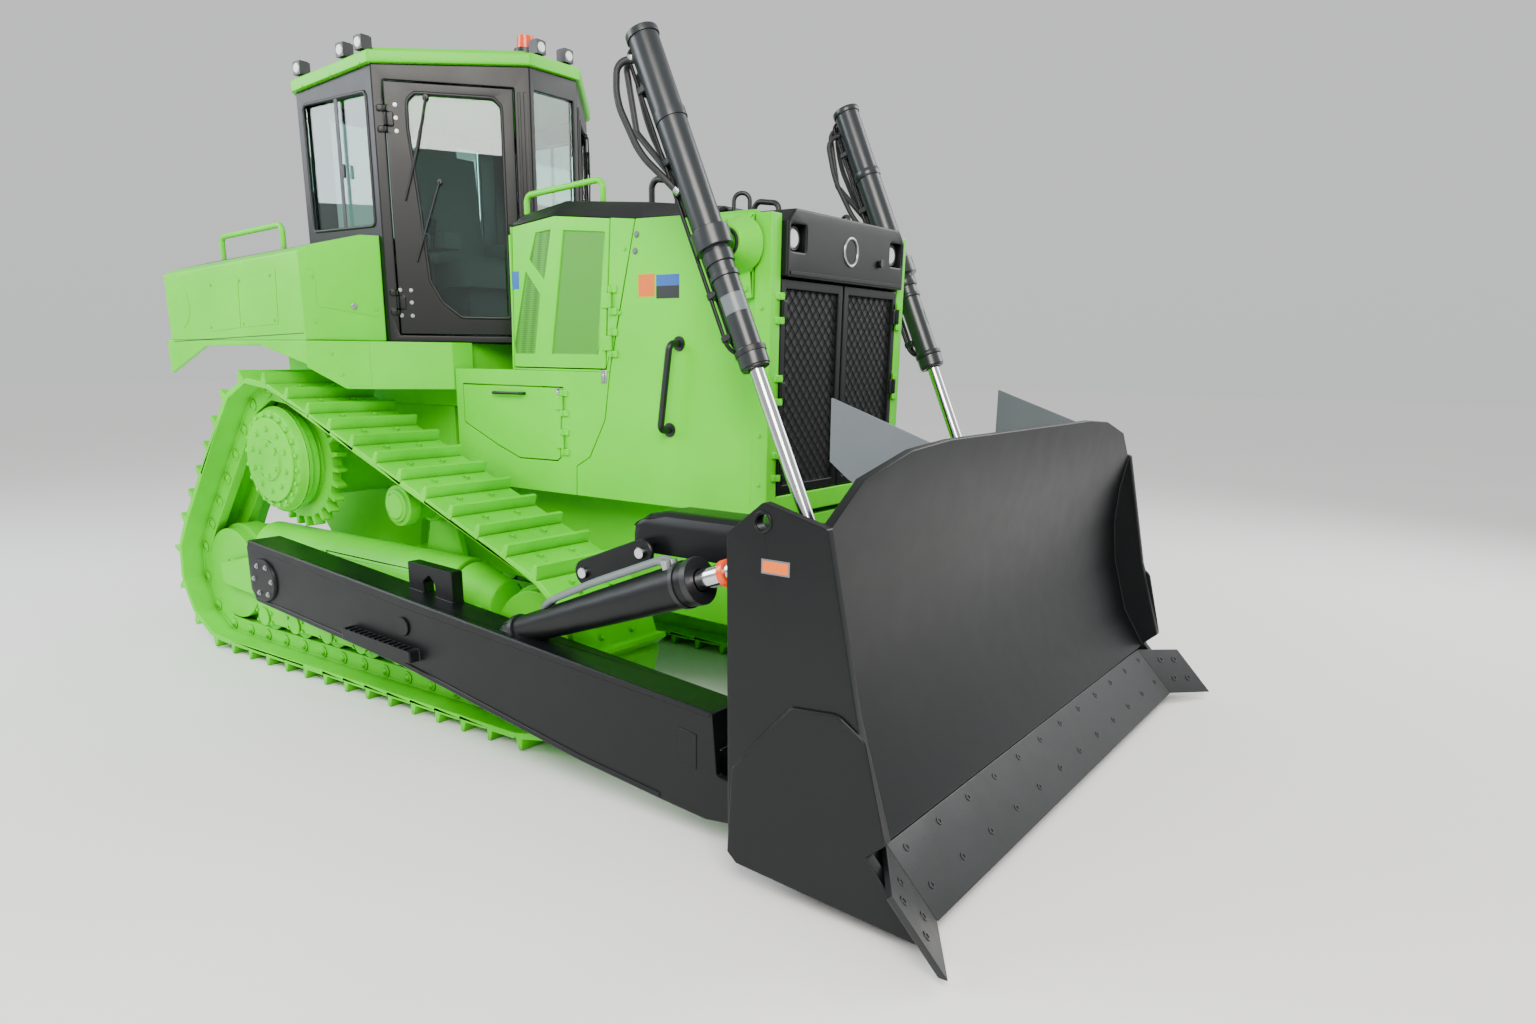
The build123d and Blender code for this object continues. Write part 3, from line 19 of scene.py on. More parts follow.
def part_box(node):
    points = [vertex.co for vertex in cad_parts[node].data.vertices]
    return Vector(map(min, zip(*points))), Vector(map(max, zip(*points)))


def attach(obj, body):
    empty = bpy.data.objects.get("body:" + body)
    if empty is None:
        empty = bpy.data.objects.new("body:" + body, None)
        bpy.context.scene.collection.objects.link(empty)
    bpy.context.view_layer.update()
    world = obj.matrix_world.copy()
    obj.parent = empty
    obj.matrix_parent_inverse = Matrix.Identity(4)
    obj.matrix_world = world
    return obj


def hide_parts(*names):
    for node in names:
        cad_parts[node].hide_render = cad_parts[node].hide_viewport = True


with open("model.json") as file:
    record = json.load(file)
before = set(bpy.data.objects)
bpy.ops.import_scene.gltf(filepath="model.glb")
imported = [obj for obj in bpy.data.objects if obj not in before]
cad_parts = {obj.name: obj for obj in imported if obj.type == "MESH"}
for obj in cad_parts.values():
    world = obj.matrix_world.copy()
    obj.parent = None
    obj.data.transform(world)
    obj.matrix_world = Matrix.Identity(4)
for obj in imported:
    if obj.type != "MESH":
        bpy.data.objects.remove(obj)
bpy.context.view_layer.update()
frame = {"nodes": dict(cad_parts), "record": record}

LOG = logging.getLogger("bulldozer")

Point = tuple[float, float, float]
Spot = tuple[float, float]      # run and height on a face, millimetres
Piece = bpy.types.Object
FaceTest = Callable[[Vector, Vector], bool]

SUNK = -0.4                     # how far a detail's foot goes into its face, millimetres
WELD = 0.00003                  # corners closer than this are one, metres


# ---------------------------------------------------------------- finishes
def linear(colour: str) -> tuple[float, float, float, float]:
    """Turns an sRGB hex colour into the linear RGBA that shaders take.

    Args:
        colour: Six hex digits after a hash sign.

    Returns:
        Linear red, green, blue and an alpha of one.
    """
    parts = [int(colour[i:i + 2], 16) / 255 for i in (1, 3, 5)]
    red, green, blue = (p / 12.92 if p <= 0.04045 else ((p + 0.055) / 1.055) ** 2.4
                        for p in parts)
    return red, green, blue, 1.0


def feed(node: bpy.types.Node, inputs: dict) -> None:
    """Sets or links a node's sockets.

    Args:
        node: The node.
        inputs: Socket name or index, with a plain value or a (node, output) link.
    """
    for socket, value in inputs.items():
        if isinstance(value, tuple) and isinstance(value[0], bpy.types.Node):
            node.id_data.links.new(value[0].outputs[value[1]], node.inputs[socket])
        else:
            node.inputs[socket].default_value = value


def add_node(tree: bpy.types.NodeTree, kind: str, inputs: dict | None = None,
             **settings: object) -> bpy.types.Node:
    """Adds one node with its settings and links.

    Args:
        tree: Node tree that gets it.
        kind: The node's type name.
        inputs: What its sockets are fed.
        **settings: Values of the node's own properties.

    Returns:
        The new node.
    """
    node = tree.nodes.new(kind)
    for name, value in settings.items():
        setattr(node, name, value)
    feed(node, inputs or {})
    return node


@dataclass(frozen=True)
class Finish:
    """What every finish has. Its pattern reads Object coordinates."""

    name: str
    slot: str
    colour: str

    def build(self) -> bpy.types.Material:
        """Builds the material."""
        material = bpy.data.materials.new(self.name)
        material.use_nodes = True
        tree = material.node_tree
        place = (add_node(tree, "ShaderNodeTexCoord"), "Object")
        feed(tree.nodes["Principled BSDF"], self.sockets(tree, place))
        return material

    def sockets(self, tree: bpy.types.NodeTree, place: tuple) -> dict:
        """Works out what the shader's sockets are fed.

        Args:
            tree: The material's node tree.
            place: Link that gives the place on the piece.

        Returns:
            Value or link of each socket.
        """
        raise NotImplementedError


@dataclass(frozen=True)
class Enamel(Finish):
    """Two-pack enamel sprayed on steel: orange peel, slow drift of tone, painted shade in
    corners.
    """

    shade: str
    roughness: float = 0.38
    spread: float = 0.10        # how far the roughness wanders
    coat: float = 0.25          # clear lacquer over the colour
    peel: float = 0.004         # size of the orange peel, metres
    depth: float = 0.05         # strength of the peel
    corner: str = "#20301A"     # colour of the painted shade in corners
    corner_shade_share: float = 0.35
    reach: float = 0.05         # how far the painted shade spreads from a corner, metres
    sheen: float = 0.5          # strength of the mirror-like reflection

    def sockets(self, tree: bpy.types.NodeTree, place: tuple) -> dict:
        """Drifts the tone over about 0.6 m and the gloss over 0.1 m, under the peel."""
        drift = add_node(tree, "ShaderNodeTexNoise",
                         {"Vector": place, "Scale": 1.7, "Detail": 4.0})
        tone = add_node(tree, "ShaderNodeMapRange",
                        {"Value": (drift, 0), "From Min": 0.35, "From Max": 0.65})
        body = add_node(tree, "ShaderNodeMix", {0: (tone, 0), 6: linear(self.colour),
                                                7: linear(self.shade)}, data_type="RGBA")
        # painted shade: ambient occlusion darkens corners and recesses towards the corner colour
        if self.corner_shade_share > 0:
            shut = add_node(tree, "ShaderNodeAmbientOcclusion", {"Distance": self.reach},
                            samples=6)
            painted_shade = add_node(tree, "ShaderNodeMapRange",
                             {"Value": (shut, "AO"), "From Min": 0.75, "From Max": 0.2,
                              "To Max": self.corner_shade_share})
            body = add_node(tree, "ShaderNodeMix", {0: (painted_shade, 0), 6: (body, 2),
                                                    7: linear(self.corner)}, data_type="RGBA")
        gloss = add_node(tree, "ShaderNodeTexNoise",
                         {"Vector": place, "Scale": 9.0, "Detail": 3.0})
        rough = add_node(tree, "ShaderNodeMapRange",
                         {"Value": (gloss, 0), "To Min": self.roughness - self.spread / 2,
                          "To Max": self.roughness + self.spread / 2})
        peel = add_node(tree, "ShaderNodeTexNoise",
                        {"Vector": place, "Scale": 1 / self.peel, "Detail": 1.0})
        bump = add_node(tree, "ShaderNodeBump",
                        {"Height": (peel, 0), "Strength": self.depth, "Distance": 0.002})
        return {"Base Color": (body, 2), "Roughness": (rough, 0), "Normal": (bump, 0),
                "Specular IOR Level": self.sheen, "Coat Weight": self.coat,
                "Coat Roughness": 0.12}


@dataclass(frozen=True)
class Metal(Finish):
    """Bare or plated steel with a fine lay of grinding or rolling marks."""

    roughness: float
    lay: Point = (40.0, 40.0, 400.0)    # marks per metre along each axis
    depth: float = 0.05

    def sockets(self, tree: bpy.types.NodeTree, place: tuple) -> dict:
        """Draws the marks out along one axis, in the gloss and in the bump."""
        turned = add_node(tree, "ShaderNodeMapping", {"Vector": place, "Scale": self.lay})
        marks = add_node(tree, "ShaderNodeTexNoise",
                         {"Vector": (turned, 0), "Scale": 1.0, "Detail": 3.0})
        rough = add_node(tree, "ShaderNodeMapRange",
                         {"Value": (marks, 0), "To Min": self.roughness * 0.8,
                          "To Max": self.roughness * 1.25})
        bump = add_node(tree, "ShaderNodeBump",
                        {"Height": (marks, 0), "Strength": self.depth, "Distance": 0.001})
        return {"Base Color": linear(self.colour), "Metallic": 1.0, "Roughness": (rough, 0),
                "Normal": (bump, 0)}


@dataclass(frozen=True)
class Moulded(Finish):
    """Moulded plastic or rubber with a fine grain from its mould."""

    roughness: float
    grain: float = 0.0015       # metres between grains
    depth: float = 0.15
    glow: float = 0.0           # light that comes through a lens, and a painted glow where the finish is on a part that is no lamp

    def sockets(self, tree: bpy.types.NodeTree, place: tuple) -> dict:
        """Grains the surface and wears its gloss in patches of about 70 mm."""
        cells = add_node(tree, "ShaderNodeTexVoronoi",
                         {"Vector": place, "Scale": 1 / self.grain})
        bump = add_node(tree, "ShaderNodeBump",
                        {"Height": (cells, 0), "Strength": self.depth, "Distance": 0.0005})
        worn = add_node(tree, "ShaderNodeTexNoise",
                        {"Vector": place, "Scale": 14.0, "Detail": 4.0})
        rough = add_node(tree, "ShaderNodeMapRange",
                         {"Value": (worn, 0), "To Min": self.roughness - 0.06,
                          "To Max": self.roughness + 0.06})
        sockets = {"Base Color": linear(self.colour), "Roughness": (rough, 0),
                   "Normal": (bump, 0)}
        if self.glow:
            sockets |= {"Emission Color": linear(self.colour), "Emission Strength": self.glow}
        return sockets


@dataclass(frozen=True)
class Pane(Finish):
    """Tempered float glass: a cool tint, clean and slightly wavy from the rollers."""

    def sockets(self, tree: bpy.types.NodeTree, place: tuple) -> dict:
        """Waves the pane over about 170 mm."""
        wave = add_node(tree, "ShaderNodeTexNoise",
                        {"Vector": place, "Scale": 6.0, "Detail": 1.0})
        bump = add_node(tree, "ShaderNodeBump",
                        {"Height": (wave, 0), "Strength": 0.02, "Distance": 0.002})
        return {"Base Color": linear(self.colour), "Transmission Weight": 1.0, "IOR": 1.5,
                "Roughness": 0.0, "Normal": (bump, 0)}


@dataclass(frozen=True)
class Sheet(Finish):
    """Perforated or grit-coated sheet: a regular field of small dark or raised spots."""

    spot: str
    pitch: float                # metres between spots
    share: float = 0.5          # radius of a spot over the pitch
    roughness: float = 0.5
    raised: bool = False

    def sockets(self, tree: bpy.types.NodeTree, place: tuple) -> dict:
        """Spots the sheet: grit lies at random and stands up, holes are in rows and sunk."""
        cells = add_node(tree, "ShaderNodeTexVoronoi",
                         {"Vector": place, "Scale": 1 / self.pitch,
                          "Randomness": 1.0 if self.raised else 0.0})
        spot = add_node(tree, "ShaderNodeMapRange",
                        {"Value": (cells, 0), "From Min": self.share,
                         "From Max": self.share * 0.7})
        colour = add_node(tree, "ShaderNodeMix", {0: (spot, 0), 6: linear(self.colour),
                                                  7: linear(self.spot)}, data_type="RGBA")
        bump = add_node(tree, "ShaderNodeBump",
                        {"Height": (spot, 0), "Strength": 0.6, "Distance": 0.001},
                        invert=not self.raised)
        return {"Base Color": (colour, 2), "Roughness": self.roughness, "Normal": (bump, 0)}


@dataclass(frozen=True)
class Ground(Finish):
    """Matt painted studio floor, nearly white, with a faint mottle over about 1.2 m."""

    shade: str

    def sockets(self, tree: bpy.types.NodeTree, place: tuple) -> dict:
        """Mottles the paint."""
        mottle = add_node(tree, "ShaderNodeTexNoise",
                          {"Vector": place, "Scale": 0.8, "Detail": 5.0})
        tone = add_node(tree, "ShaderNodeMix", {0: (mottle, 0), 6: linear(self.colour),
                                                7: linear(self.shade)}, data_type="RGBA")
        return {"Base Color": (tone, 2), "Roughness": 0.8}


class Shop(Enum):
    """Every finish on the machine."""

    # every enamel but the silver grey darkens its corners with painted shade
    # lime enamel: glossy, even, a yellow-green that drifts at random to a slightly deeper tone
    LIME = Enamel("lime_enamel", "green_paint", "#5CE60C", "#54DA08", 0.42, coat=0.05, sheen=0.25)
    # the same enamel over cast steel: rougher ground, with heavier painted shade in the pockets
    TRACK = Enamel("lime_enamel_on_castings", "track_green", "#5CE40C", "#4ECE08", 0.5,
                   sheen=0.2, peel=0.012, depth=0.25, coat=0.05, corner="#14240C",
                   corner_shade_share=0.75, reach=0.07)
    # charcoal enamel: satin, shows soft broad reflections
    CHARCOAL = Enamel("charcoal_enamel", "charcoal_paint", "#0D1012", "#0A0C0E", 0.40,
                      sheen=0.25, coat=0.03, corner="#101214", corner_shade_share=0.3)
    # the cylinders' enamel: the charcoal paint, smoother so it carries a longer highlight, and
    # lighter as a painted highlight
    BARREL = Enamel("cylinder_enamel_painted_light", "charcoal_paint", "#24292C", "#1F2427", 0.32, coat=0.1,
                    corner="#101214", corner_shade_share=0.3)
    # the cab's enamel: a little glossier than the blade's
    CAB = Enamel("cab_enamel", "cab_paint", "#0F1214", "#0C0F10", 0.36, sheen=0.3, coat=0.05,
                 corner="#0C0E10", corner_shade_share=0.4)
    SILVER = Enamel("silver_grey_enamel", "grey_plate", "#666E73", "#60686D", 0.35, coat=0.1,
                    corner_shade_share=0.0)
    # enamel on the wearing edges: coarse, its gloss patchy from scuffs
    EDGE = Enamel("scuffed_edge_enamel", "edge_steel", "#1A1D1F", "#131516", 0.42, spread=0.2,
                  sheen=0.35, peel=0.01, depth=0.15, coat=0.1, corner="#101214")
    # hard chrome, ground: mirror-like; zinc plate: dull and cool
    CHROME = Metal("hard_chrome", "chrome_rod", "#C9CCCE", 0.12, depth=0.01)
    ZINC = Metal("zinc_plated_steel", "bearing_steel", "#A9ADAF", 0.32)
    GLASS = Pane("tinted_float_glass", "clear_glass", "#B9DCD2")
    # rubbers and plastics as moulded: rubber matt, polyamide satin, acrylic clear and shiny
    RUBBER = Moulded("hose_rubber", "black_hose", "#16181A", 0.55)
    BLACK = Moulded("black_polyamide", "console_plastic", "#14171A", 0.42)
    CLOTH = Moulded("seat_cloth", "seat_cloth", "#1B1D20", 0.85, grain=0.003, depth=0.5)
    # the amber glows faintly: lamp light on the beacon and rear markers, a painted glow on the
    # tilt rods' seal rings
    AMBER = Moulded("amber_acrylic", "beacon_amber", "#F04A04", 0.18, glow=0.1)
    LAMP = Moulded("lamp_glass", "lamp_plastic", "#D8DCDC", 0.12, glow=0.1)
    IRON = Moulded("engine_casting", "engine_iron", "#3A3C3C", 0.7, grain=0.004, depth=0.4)
    CORE = Moulded("radiator_fins", "core_aluminium", "#1C1E1F", 0.6)
    # vinyl films of the blank labels: smooth, with hardly any grain
    FILM_ORANGE = Moulded("orange_vinyl_film", "console_plastic", "#E86A00", 0.35, depth=0.02)
    FILM_BLUE = Moulded("blue_vinyl_film", "console_plastic", "#1E5CB0", 0.35, depth=0.02)
    FILM_BLACK = Moulded("black_vinyl_film", "console_plastic", "#1E2224", 0.35, depth=0.02)
    HOSE_GREY = Moulded("braided_hose_cover", "black_hose", "#6A7276", 0.5)
    # sheets: grit and holes are drawn coarser than real ones, so that they show
    GRIT = Sheet("anti_slip_grit", "green_paint", "#6F7A7C", "#4C5557", 0.006, 0.5, 0.75, True)
    # the vent sheet: a green darker than the lime as painted shade in the recess, its holes dark
    # spots of painted shade
    VENT = Sheet("perforated_vent_sheet_painted_shade", "green_paint", "#3E9A0C", "#164408", 0.011, 0.42)

    @property
    def material(self) -> bpy.types.Material:
        """The finish's material, built once."""
        return bpy.data.materials.get(self.value.name) or self.value.build()


# ---------------------------------------------------------------- modelling moves
def alone(piece: Piece) -> Piece:
    """Selects one piece and nothing else, and makes it active."""
    bpy.ops.object.select_all(action="DESELECT")
    piece.select_set(True)
    bpy.context.view_layer.objects.active = piece
    return piece


def named(piece: Piece, name: str) -> Piece:
    """Names a piece and its mesh."""
    piece.name = piece.data.name = name
    return piece


def twin(piece: Piece) -> Piece:
    """Copies a piece with a mesh of its own."""
    copy = piece.copy()
    copy.data = piece.data.copy()
    bpy.context.collection.objects.link(copy)
    return copy


@contextmanager
def editing(piece: Piece) -> Iterator[None]:
    """Opens one piece alone in edit mode with everything on it selected."""
    alone(piece)
    bpy.ops.object.mode_set(mode="EDIT")
    bpy.ops.mesh.select_mode(type="VERT")
    bpy.ops.mesh.select_all(action="SELECT")
    try:
        yield
    finally:
        bpy.ops.object.mode_set(mode="OBJECT")


class Bench:
    """The moves that shape and finish a piece."""

    bodies = {node: body for body, nodes in frame["record"]["behaviour"]["bodies"].items()
              for node in nodes}
    sharp = math.radians(32)    # an edge that turns more is rounded

    @staticmethod
    def settle(piece: Piece, name: str) -> Piece:
        """Puts a piece's place into its mesh and names it."""
        alone(piece)
        bpy.ops.object.transform_apply(location=True, rotation=True, scale=True)
        return named(piece, name)

    @staticmethod
    def choose(piece: Piece, test: FaceTest) -> None:
        """Selects the faces that pass a test of centre and normal, in edit mode.

        Args:
            piece: The piece.
            test: Tells from a face's centre and normal whether it is chosen.
        """
        bpy.ops.mesh.select_mode(type="FACE")
        shape = bmesh.from_edit_mesh(piece.data)
        for face in shape.faces:
            face.select_set(test(face.calc_center_median(), face.normal))
        shape.select_flush_mode()
        bmesh.update_edit_mesh(piece.data)

    @staticmethod
    def choose_by_edges(piece: Piece, count: int) -> None:
        """Selects the corners where a number of edges meet, in edit mode.

        Args:
            piece: The piece.
            count: Number of edges at a chosen corner.
        """
        shape = bmesh.from_edit_mesh(piece.data)
        for vert in shape.verts:
            vert.select_set(len(vert.link_edges) == count)
        shape.select_flush_mode()

    @classmethod
    def block(cls, name: str, low: Point, high: Point) -> Piece:
        """Adds a box between two corners.

        Args:
            name: Name of the piece.
            low: Its low corner, metres.
            high: Its high corner, metres.

        Returns:
            The box.
        """
        centre = [(a + b) / 2 for a, b in zip(low, high)]
        bpy.ops.mesh.primitive_cube_add(size=1, location=centre,
                                        scale=[b - a for a, b in zip(low, high)])
        return cls.settle(bpy.context.object, name)

    @classmethod
    def bar(cls, name: str, start: Point, end: Point, radius: float,
            end_radius: float | None = None, sides: int = 32) -> Piece:
        """Adds a round bar or a taper.

        Args:
            name: Name of the piece.
            start: Middle of its first end.
            end: Middle of its other end.
            radius: Radius at the start, metres.
            end_radius: Radius at the end, where it tapers.
            sides: Facets round it.

        Returns:
            The bar.
        """
        axis = Vector(end) - Vector(start)
        bpy.ops.mesh.primitive_cone_add(
            vertices=sides, radius1=radius, radius2=radius if end_radius is None else end_radius,
            depth=axis.length, location=(Vector(start) + Vector(end)) / 2,
            rotation=axis.to_track_quat("Z", "Y").to_euler())
        return cls.settle(bpy.context.object, name)

    @classmethod
    def walled(cls, piece: Piece, open_at: FaceTest, wall: float, **settings: object) -> Piece:
        """Opens a closed piece at some faces and gives the rest a wall.

        Args:
            piece: The closed piece.
            open_at: Test of the faces that go.
            wall: Thickness of the wall, metres.
            **settings: More settings of the wall.

        Returns:
            The piece.
        """
        with editing(piece):
            cls.choose(piece, open_at)
            bpy.ops.mesh.delete(type="FACE")
        return cls.modify(piece, "SOLIDIFY", thickness=wall, **settings)

    @classmethod
    def ring(cls, name: str, start: Point, end: Point, outer: float, inner: float) -> Piece:
        """Adds an open ring between two radii, with its rims rounded.

        Args:
            name: Name of the piece.
            start: Middle of its first end.
            end: Middle of its other end.
            outer: Outer radius, metres.
            inner: Inner radius, metres.

        Returns:
            The ring.
        """
        axis = (Vector(end) - Vector(start)).normalized()
        piece = cls.walled(cls.bar(name, start, end, outer, sides=48),
                           lambda spot, way: abs(way.dot(axis)) > 0.9, outer - inner,
                           offset=-1, use_even_offset=True)
        return cls.soften(piece, min(0.003, (outer - inner) * 0.3))

    @classmethod
    def dished(cls, piece: Piece, top: FaceTest, rim: float, move: Point) -> Piece:
        """Insets a piece's top and sinks or raises what is inside.

        Args:
            piece: The piece.
            top: Test of the faces on top.
            rim: Width of the rim that stays, metres.
            move: How far the inner part moves.

        Returns:
            The piece.
        """
        with editing(piece):
            cls.choose(piece, top)
            bpy.ops.mesh.inset(thickness=rim)
            bpy.ops.mesh.extrude_region_move(TRANSFORM_OT_translate={"value": move})
        return piece

    @classmethod
    def line(cls, name: str, points: Sequence[Point], closed: bool = False) -> Piece:
        """Draws a line of edges by extruding one corner from point to point.

        Args:
            name: Name of the piece.
            points: Its corners.
            closed: Whether the last corner is joined to the first.

        Returns:
            The line.
        """
        bpy.ops.mesh.primitive_plane_add(size=0.01, location=(0, 0, 0))
        piece = bpy.context.object
        with editing(piece):
            shape = bmesh.from_edit_mesh(piece.data)
            shape.verts.ensure_lookup_table()
            start = shape.verts[0].co.copy()
            shape.verts[0].select_set(False)
            shape.select_flush_mode()
            bpy.ops.mesh.delete(type="VERT")
            bpy.ops.mesh.select_all(action="SELECT")
            bpy.ops.transform.translate(value=Vector(points[0]) - start)
            for before, after in zip(points, points[1:]):
                bpy.ops.mesh.extrude_region_move(
                    TRANSFORM_OT_translate={"value": Vector(after) - Vector(before)})
            if closed:
                cls.choose_by_edges(piece, 1)
                bpy.ops.mesh.edge_face_add()
        return named(piece, name)

    @classmethod
    def plate(cls, name: str, points: Sequence[Point], thick: Point) -> Piece:
        """Draws a closed outline, fills it and gives it a thickness.

        Args:
            name: Name of the piece.
            points: Corners of the outline.
            thick: Way and length of its thickness.

        Returns:
            The plate.
        """
        piece = cls.line(name, points, closed=True)
        with editing(piece):
            bpy.ops.mesh.edge_face_add()
            bpy.ops.mesh.extrude_region_move(TRANSFORM_OT_translate={"value": thick})
            bpy.ops.mesh.select_all(action="SELECT")
            bpy.ops.mesh.normals_make_consistent(inside=False)
        return piece

    @classmethod
    def tube(cls, name: str, points: Sequence[Point], radius: float, bend: float,
             closed: bool = False) -> Piece:
        """Draws a round tube along a line of points.

        Args:
            name: Name of the piece.
            points: Corners of its middle line.
            radius: The tube's radius, metres.
            bend: How far from a corner its bend starts.
            closed: Whether it runs back to its first point.

        Returns:
            The tube.
        """
        piece = cls.line(name, points, closed)
        with editing(piece):
            cls.choose_by_edges(piece, 2)
            if len(points) > 2:
                bpy.ops.mesh.bevel(offset=bend, segments=6, affect="VERTICES", profile=0.5)
        bpy.ops.object.convert(target="CURVE")
        curve = bpy.context.object.data
        curve.bevel_depth = radius
        curve.bevel_resolution = 3
        curve.use_fill_caps = True
        bpy.ops.object.convert(target="MESH")
        return cls.smooth(named(bpy.context.object, name))

    @staticmethod
    def modify(piece: Piece, kind: str, **settings: object) -> Piece:
        """Gives a piece one modifier and applies it.

        Args:
            piece: The piece.
            kind: The modifier's type name.
            **settings: Values of its properties.

        Returns:
            The piece.
        """
        alone(piece)
        modifier = piece.modifiers.new(kind.lower(), kind)
        for name, value in settings.items():
            setattr(modifier, name, value)
        bpy.ops.object.modifier_apply(modifier=modifier.name)
        return piece

    @staticmethod
    def smooth(piece: Piece, angle: float = 40) -> Piece:
        """Shades a piece smooth except over edges that turn more than an angle."""
        alone(piece)
        bpy.ops.object.shade_smooth_by_angle(angle=math.radians(angle))
        return piece

    @classmethod
    def soften(cls, piece: Piece, width: float, segments: int = 2,
               long_only: bool = False) -> Piece:
        """Rounds a piece's sharp edges and keeps its flats flat.

        Args:
            piece: The piece.
            width: Width of the rounding, metres.
            segments: Facets across the rounding.
            long_only: Leaves short edges, such as those round a hole, sharp.

        Returns:
            The piece.
        """
        limit = {"limit_method": "ANGLE", "angle_limit": cls.sharp, "miter_outer": "MITER_ARC"}
        if long_only:
            cls.weigh_long_edges(piece, 5 * width)
            limit = {"limit_method": "WEIGHT"}
        cls.modify(piece, "BEVEL", width=width, segments=segments, use_clamp_overlap=False,
                   **limit)
        return cls.modify(cls.smooth(piece), "WEIGHTED_NORMAL", keep_sharp=True)

    @classmethod
    def weigh_long_edges(cls, piece: Piece, length: float) -> None:
        """Marks the sharp edges that are longer than a length.

        Args:
            piece: The piece.
            length: The length, metres.
        """
        shape = bmesh.new()
        shape.from_mesh(piece.data)
        weight = shape.edges.layers.float.new("bevel_weight_edge")
        for edge in shape.edges:
            if edge.calc_length() > length and edge.calc_face_angle(0) > cls.sharp:
                edge[weight] = 1.0
        shape.to_mesh(piece.data)
        shape.free()

    @classmethod
    def softened(cls, node: str, width: float, long_only: bool = False) -> Piece:
        """Copies a CAD node with its edges rounded.

        Args:
            node: The node's name.
            width: Width of the rounding, metres.
            long_only: Leaves short edges sharp.

        Returns:
            The copy, which stands for the node and rides with it.
        """
        piece = named(twin(frame["nodes"][node]), node + "_finished")
        piece.parent = None
        with editing(piece):
            bpy.ops.mesh.remove_doubles(threshold=WELD)
        cls.soften(piece, width, long_only=long_only)
        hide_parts(node)
        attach(piece, cls.bodies[node])
        return piece

    @staticmethod
    def dress(piece: Piece, finish: Shop, body: str | None = "machine") -> Piece:
        """Paints a piece all over and fixes it to a body.

        Args:
            piece: The piece.
            finish: What it is painted with.
            body: Body it rides on, or none where it rides already.

        Returns:
            The piece.
        """
        piece.data.materials.clear()
        piece.data.materials.append(finish.material)
        if body:
            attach(piece, body)
        LOG.info("%s in %s", piece.name, finish.value.name)
        return piece

    @staticmethod
    def touch_up(piece: Piece, finish: Shop, test: FaceTest) -> None:
        """Paints the faces that pass a test in a second finish.

        Args:
            piece: The piece.
            finish: The second finish.
            test: Tells from a face's centre and normal whether it is painted.
        """
        piece.data.materials.append(finish.material)
        number = len(piece.data.materials) - 1
        for face in piece.data.polygons:
            if test(face.center, face.normal):
                face.material_index = number

    @staticmethod
    def join(pieces: Sequence[Piece], name: str) -> Piece:
        """Joins pieces into the first of them.

        Args:
            pieces: The pieces.
            name: Name of the whole.

        Returns:
            The first piece, which now holds them all.
        """
        bpy.ops.object.select_all(action="DESELECT")
        for piece in pieces:
            piece.select_set(True)
        bpy.context.view_layer.objects.active = pieces[0]
        bpy.ops.object.join()
        return named(pieces[0], name)

    @classmethod
    def spread(cls, master: Piece, name: str, places: Sequence[Matrix]) -> Piece:
        """Copies a master to every place and joins the copies; the master goes.

        Args:
            master: The piece, modelled at the origin along +Z.
            name: Name of the whole.
            places: Where its copies go.

        Returns:
            The joined copies.
        """
        copies = []
        for place in places:
            copies.append(twin(master))
            copies[-1].data.transform(place)
        bpy.data.objects.remove(master)
        return cls.join(copies, name)

    @classmethod
    def pair(cls, piece: Piece, name: str, finish: Shop, body: str = "machine") -> None:
        """Finishes a right-hand piece and its mirror image on the left.

        Args:
            piece: The right-hand piece.
            name: Name of both, without the side.
            finish: What they are painted with.
            body: Body they ride on, with {side} where the name of the side goes.
        """
        other = twin(piece)
        with editing(other):
            bpy.ops.transform.resize(value=(1, -1, 1), center_override=(0, 0, 0))
            bpy.ops.mesh.flip_normals()
        for side, half in (("right", piece), ("left", other)):
            cls.dress(named(half, f"{name}_{side}"), finish, body.format(side=side))

    @classmethod
    def scatter(cls, master: Piece, name: str, places: Sequence[Matrix], finish: Shop,
                body: str = "machine") -> None:
        """Puts a master at every place on the right and mirrors the lot.

        Args:
            master: The piece, modelled at the origin along +Z.
            name: Name of both halves, without the side.
            places: Where its copies go.
            finish: What they are painted with.
            body: Body they ride on.
        """
        cls.pair(cls.spread(master, name, places), name, finish, body)


def facing(place: Point, normal: Point) -> Matrix:
    """Place of a master that is modelled at the origin along +Z, turned to face a way."""
    return Matrix.Translation(place) @ Vector(normal).to_track_quat("Z", "Y").to_matrix().to_4x4()


# ---------------------------------------------------------------- CAD nodes in their finish
def both(name: str, *others: str) -> tuple[str, ...]:
    """Names of both sides of each node, node by node."""
    return tuple(f"{node}_{side}" for node in (name, *others) for side in ("right", "left"))


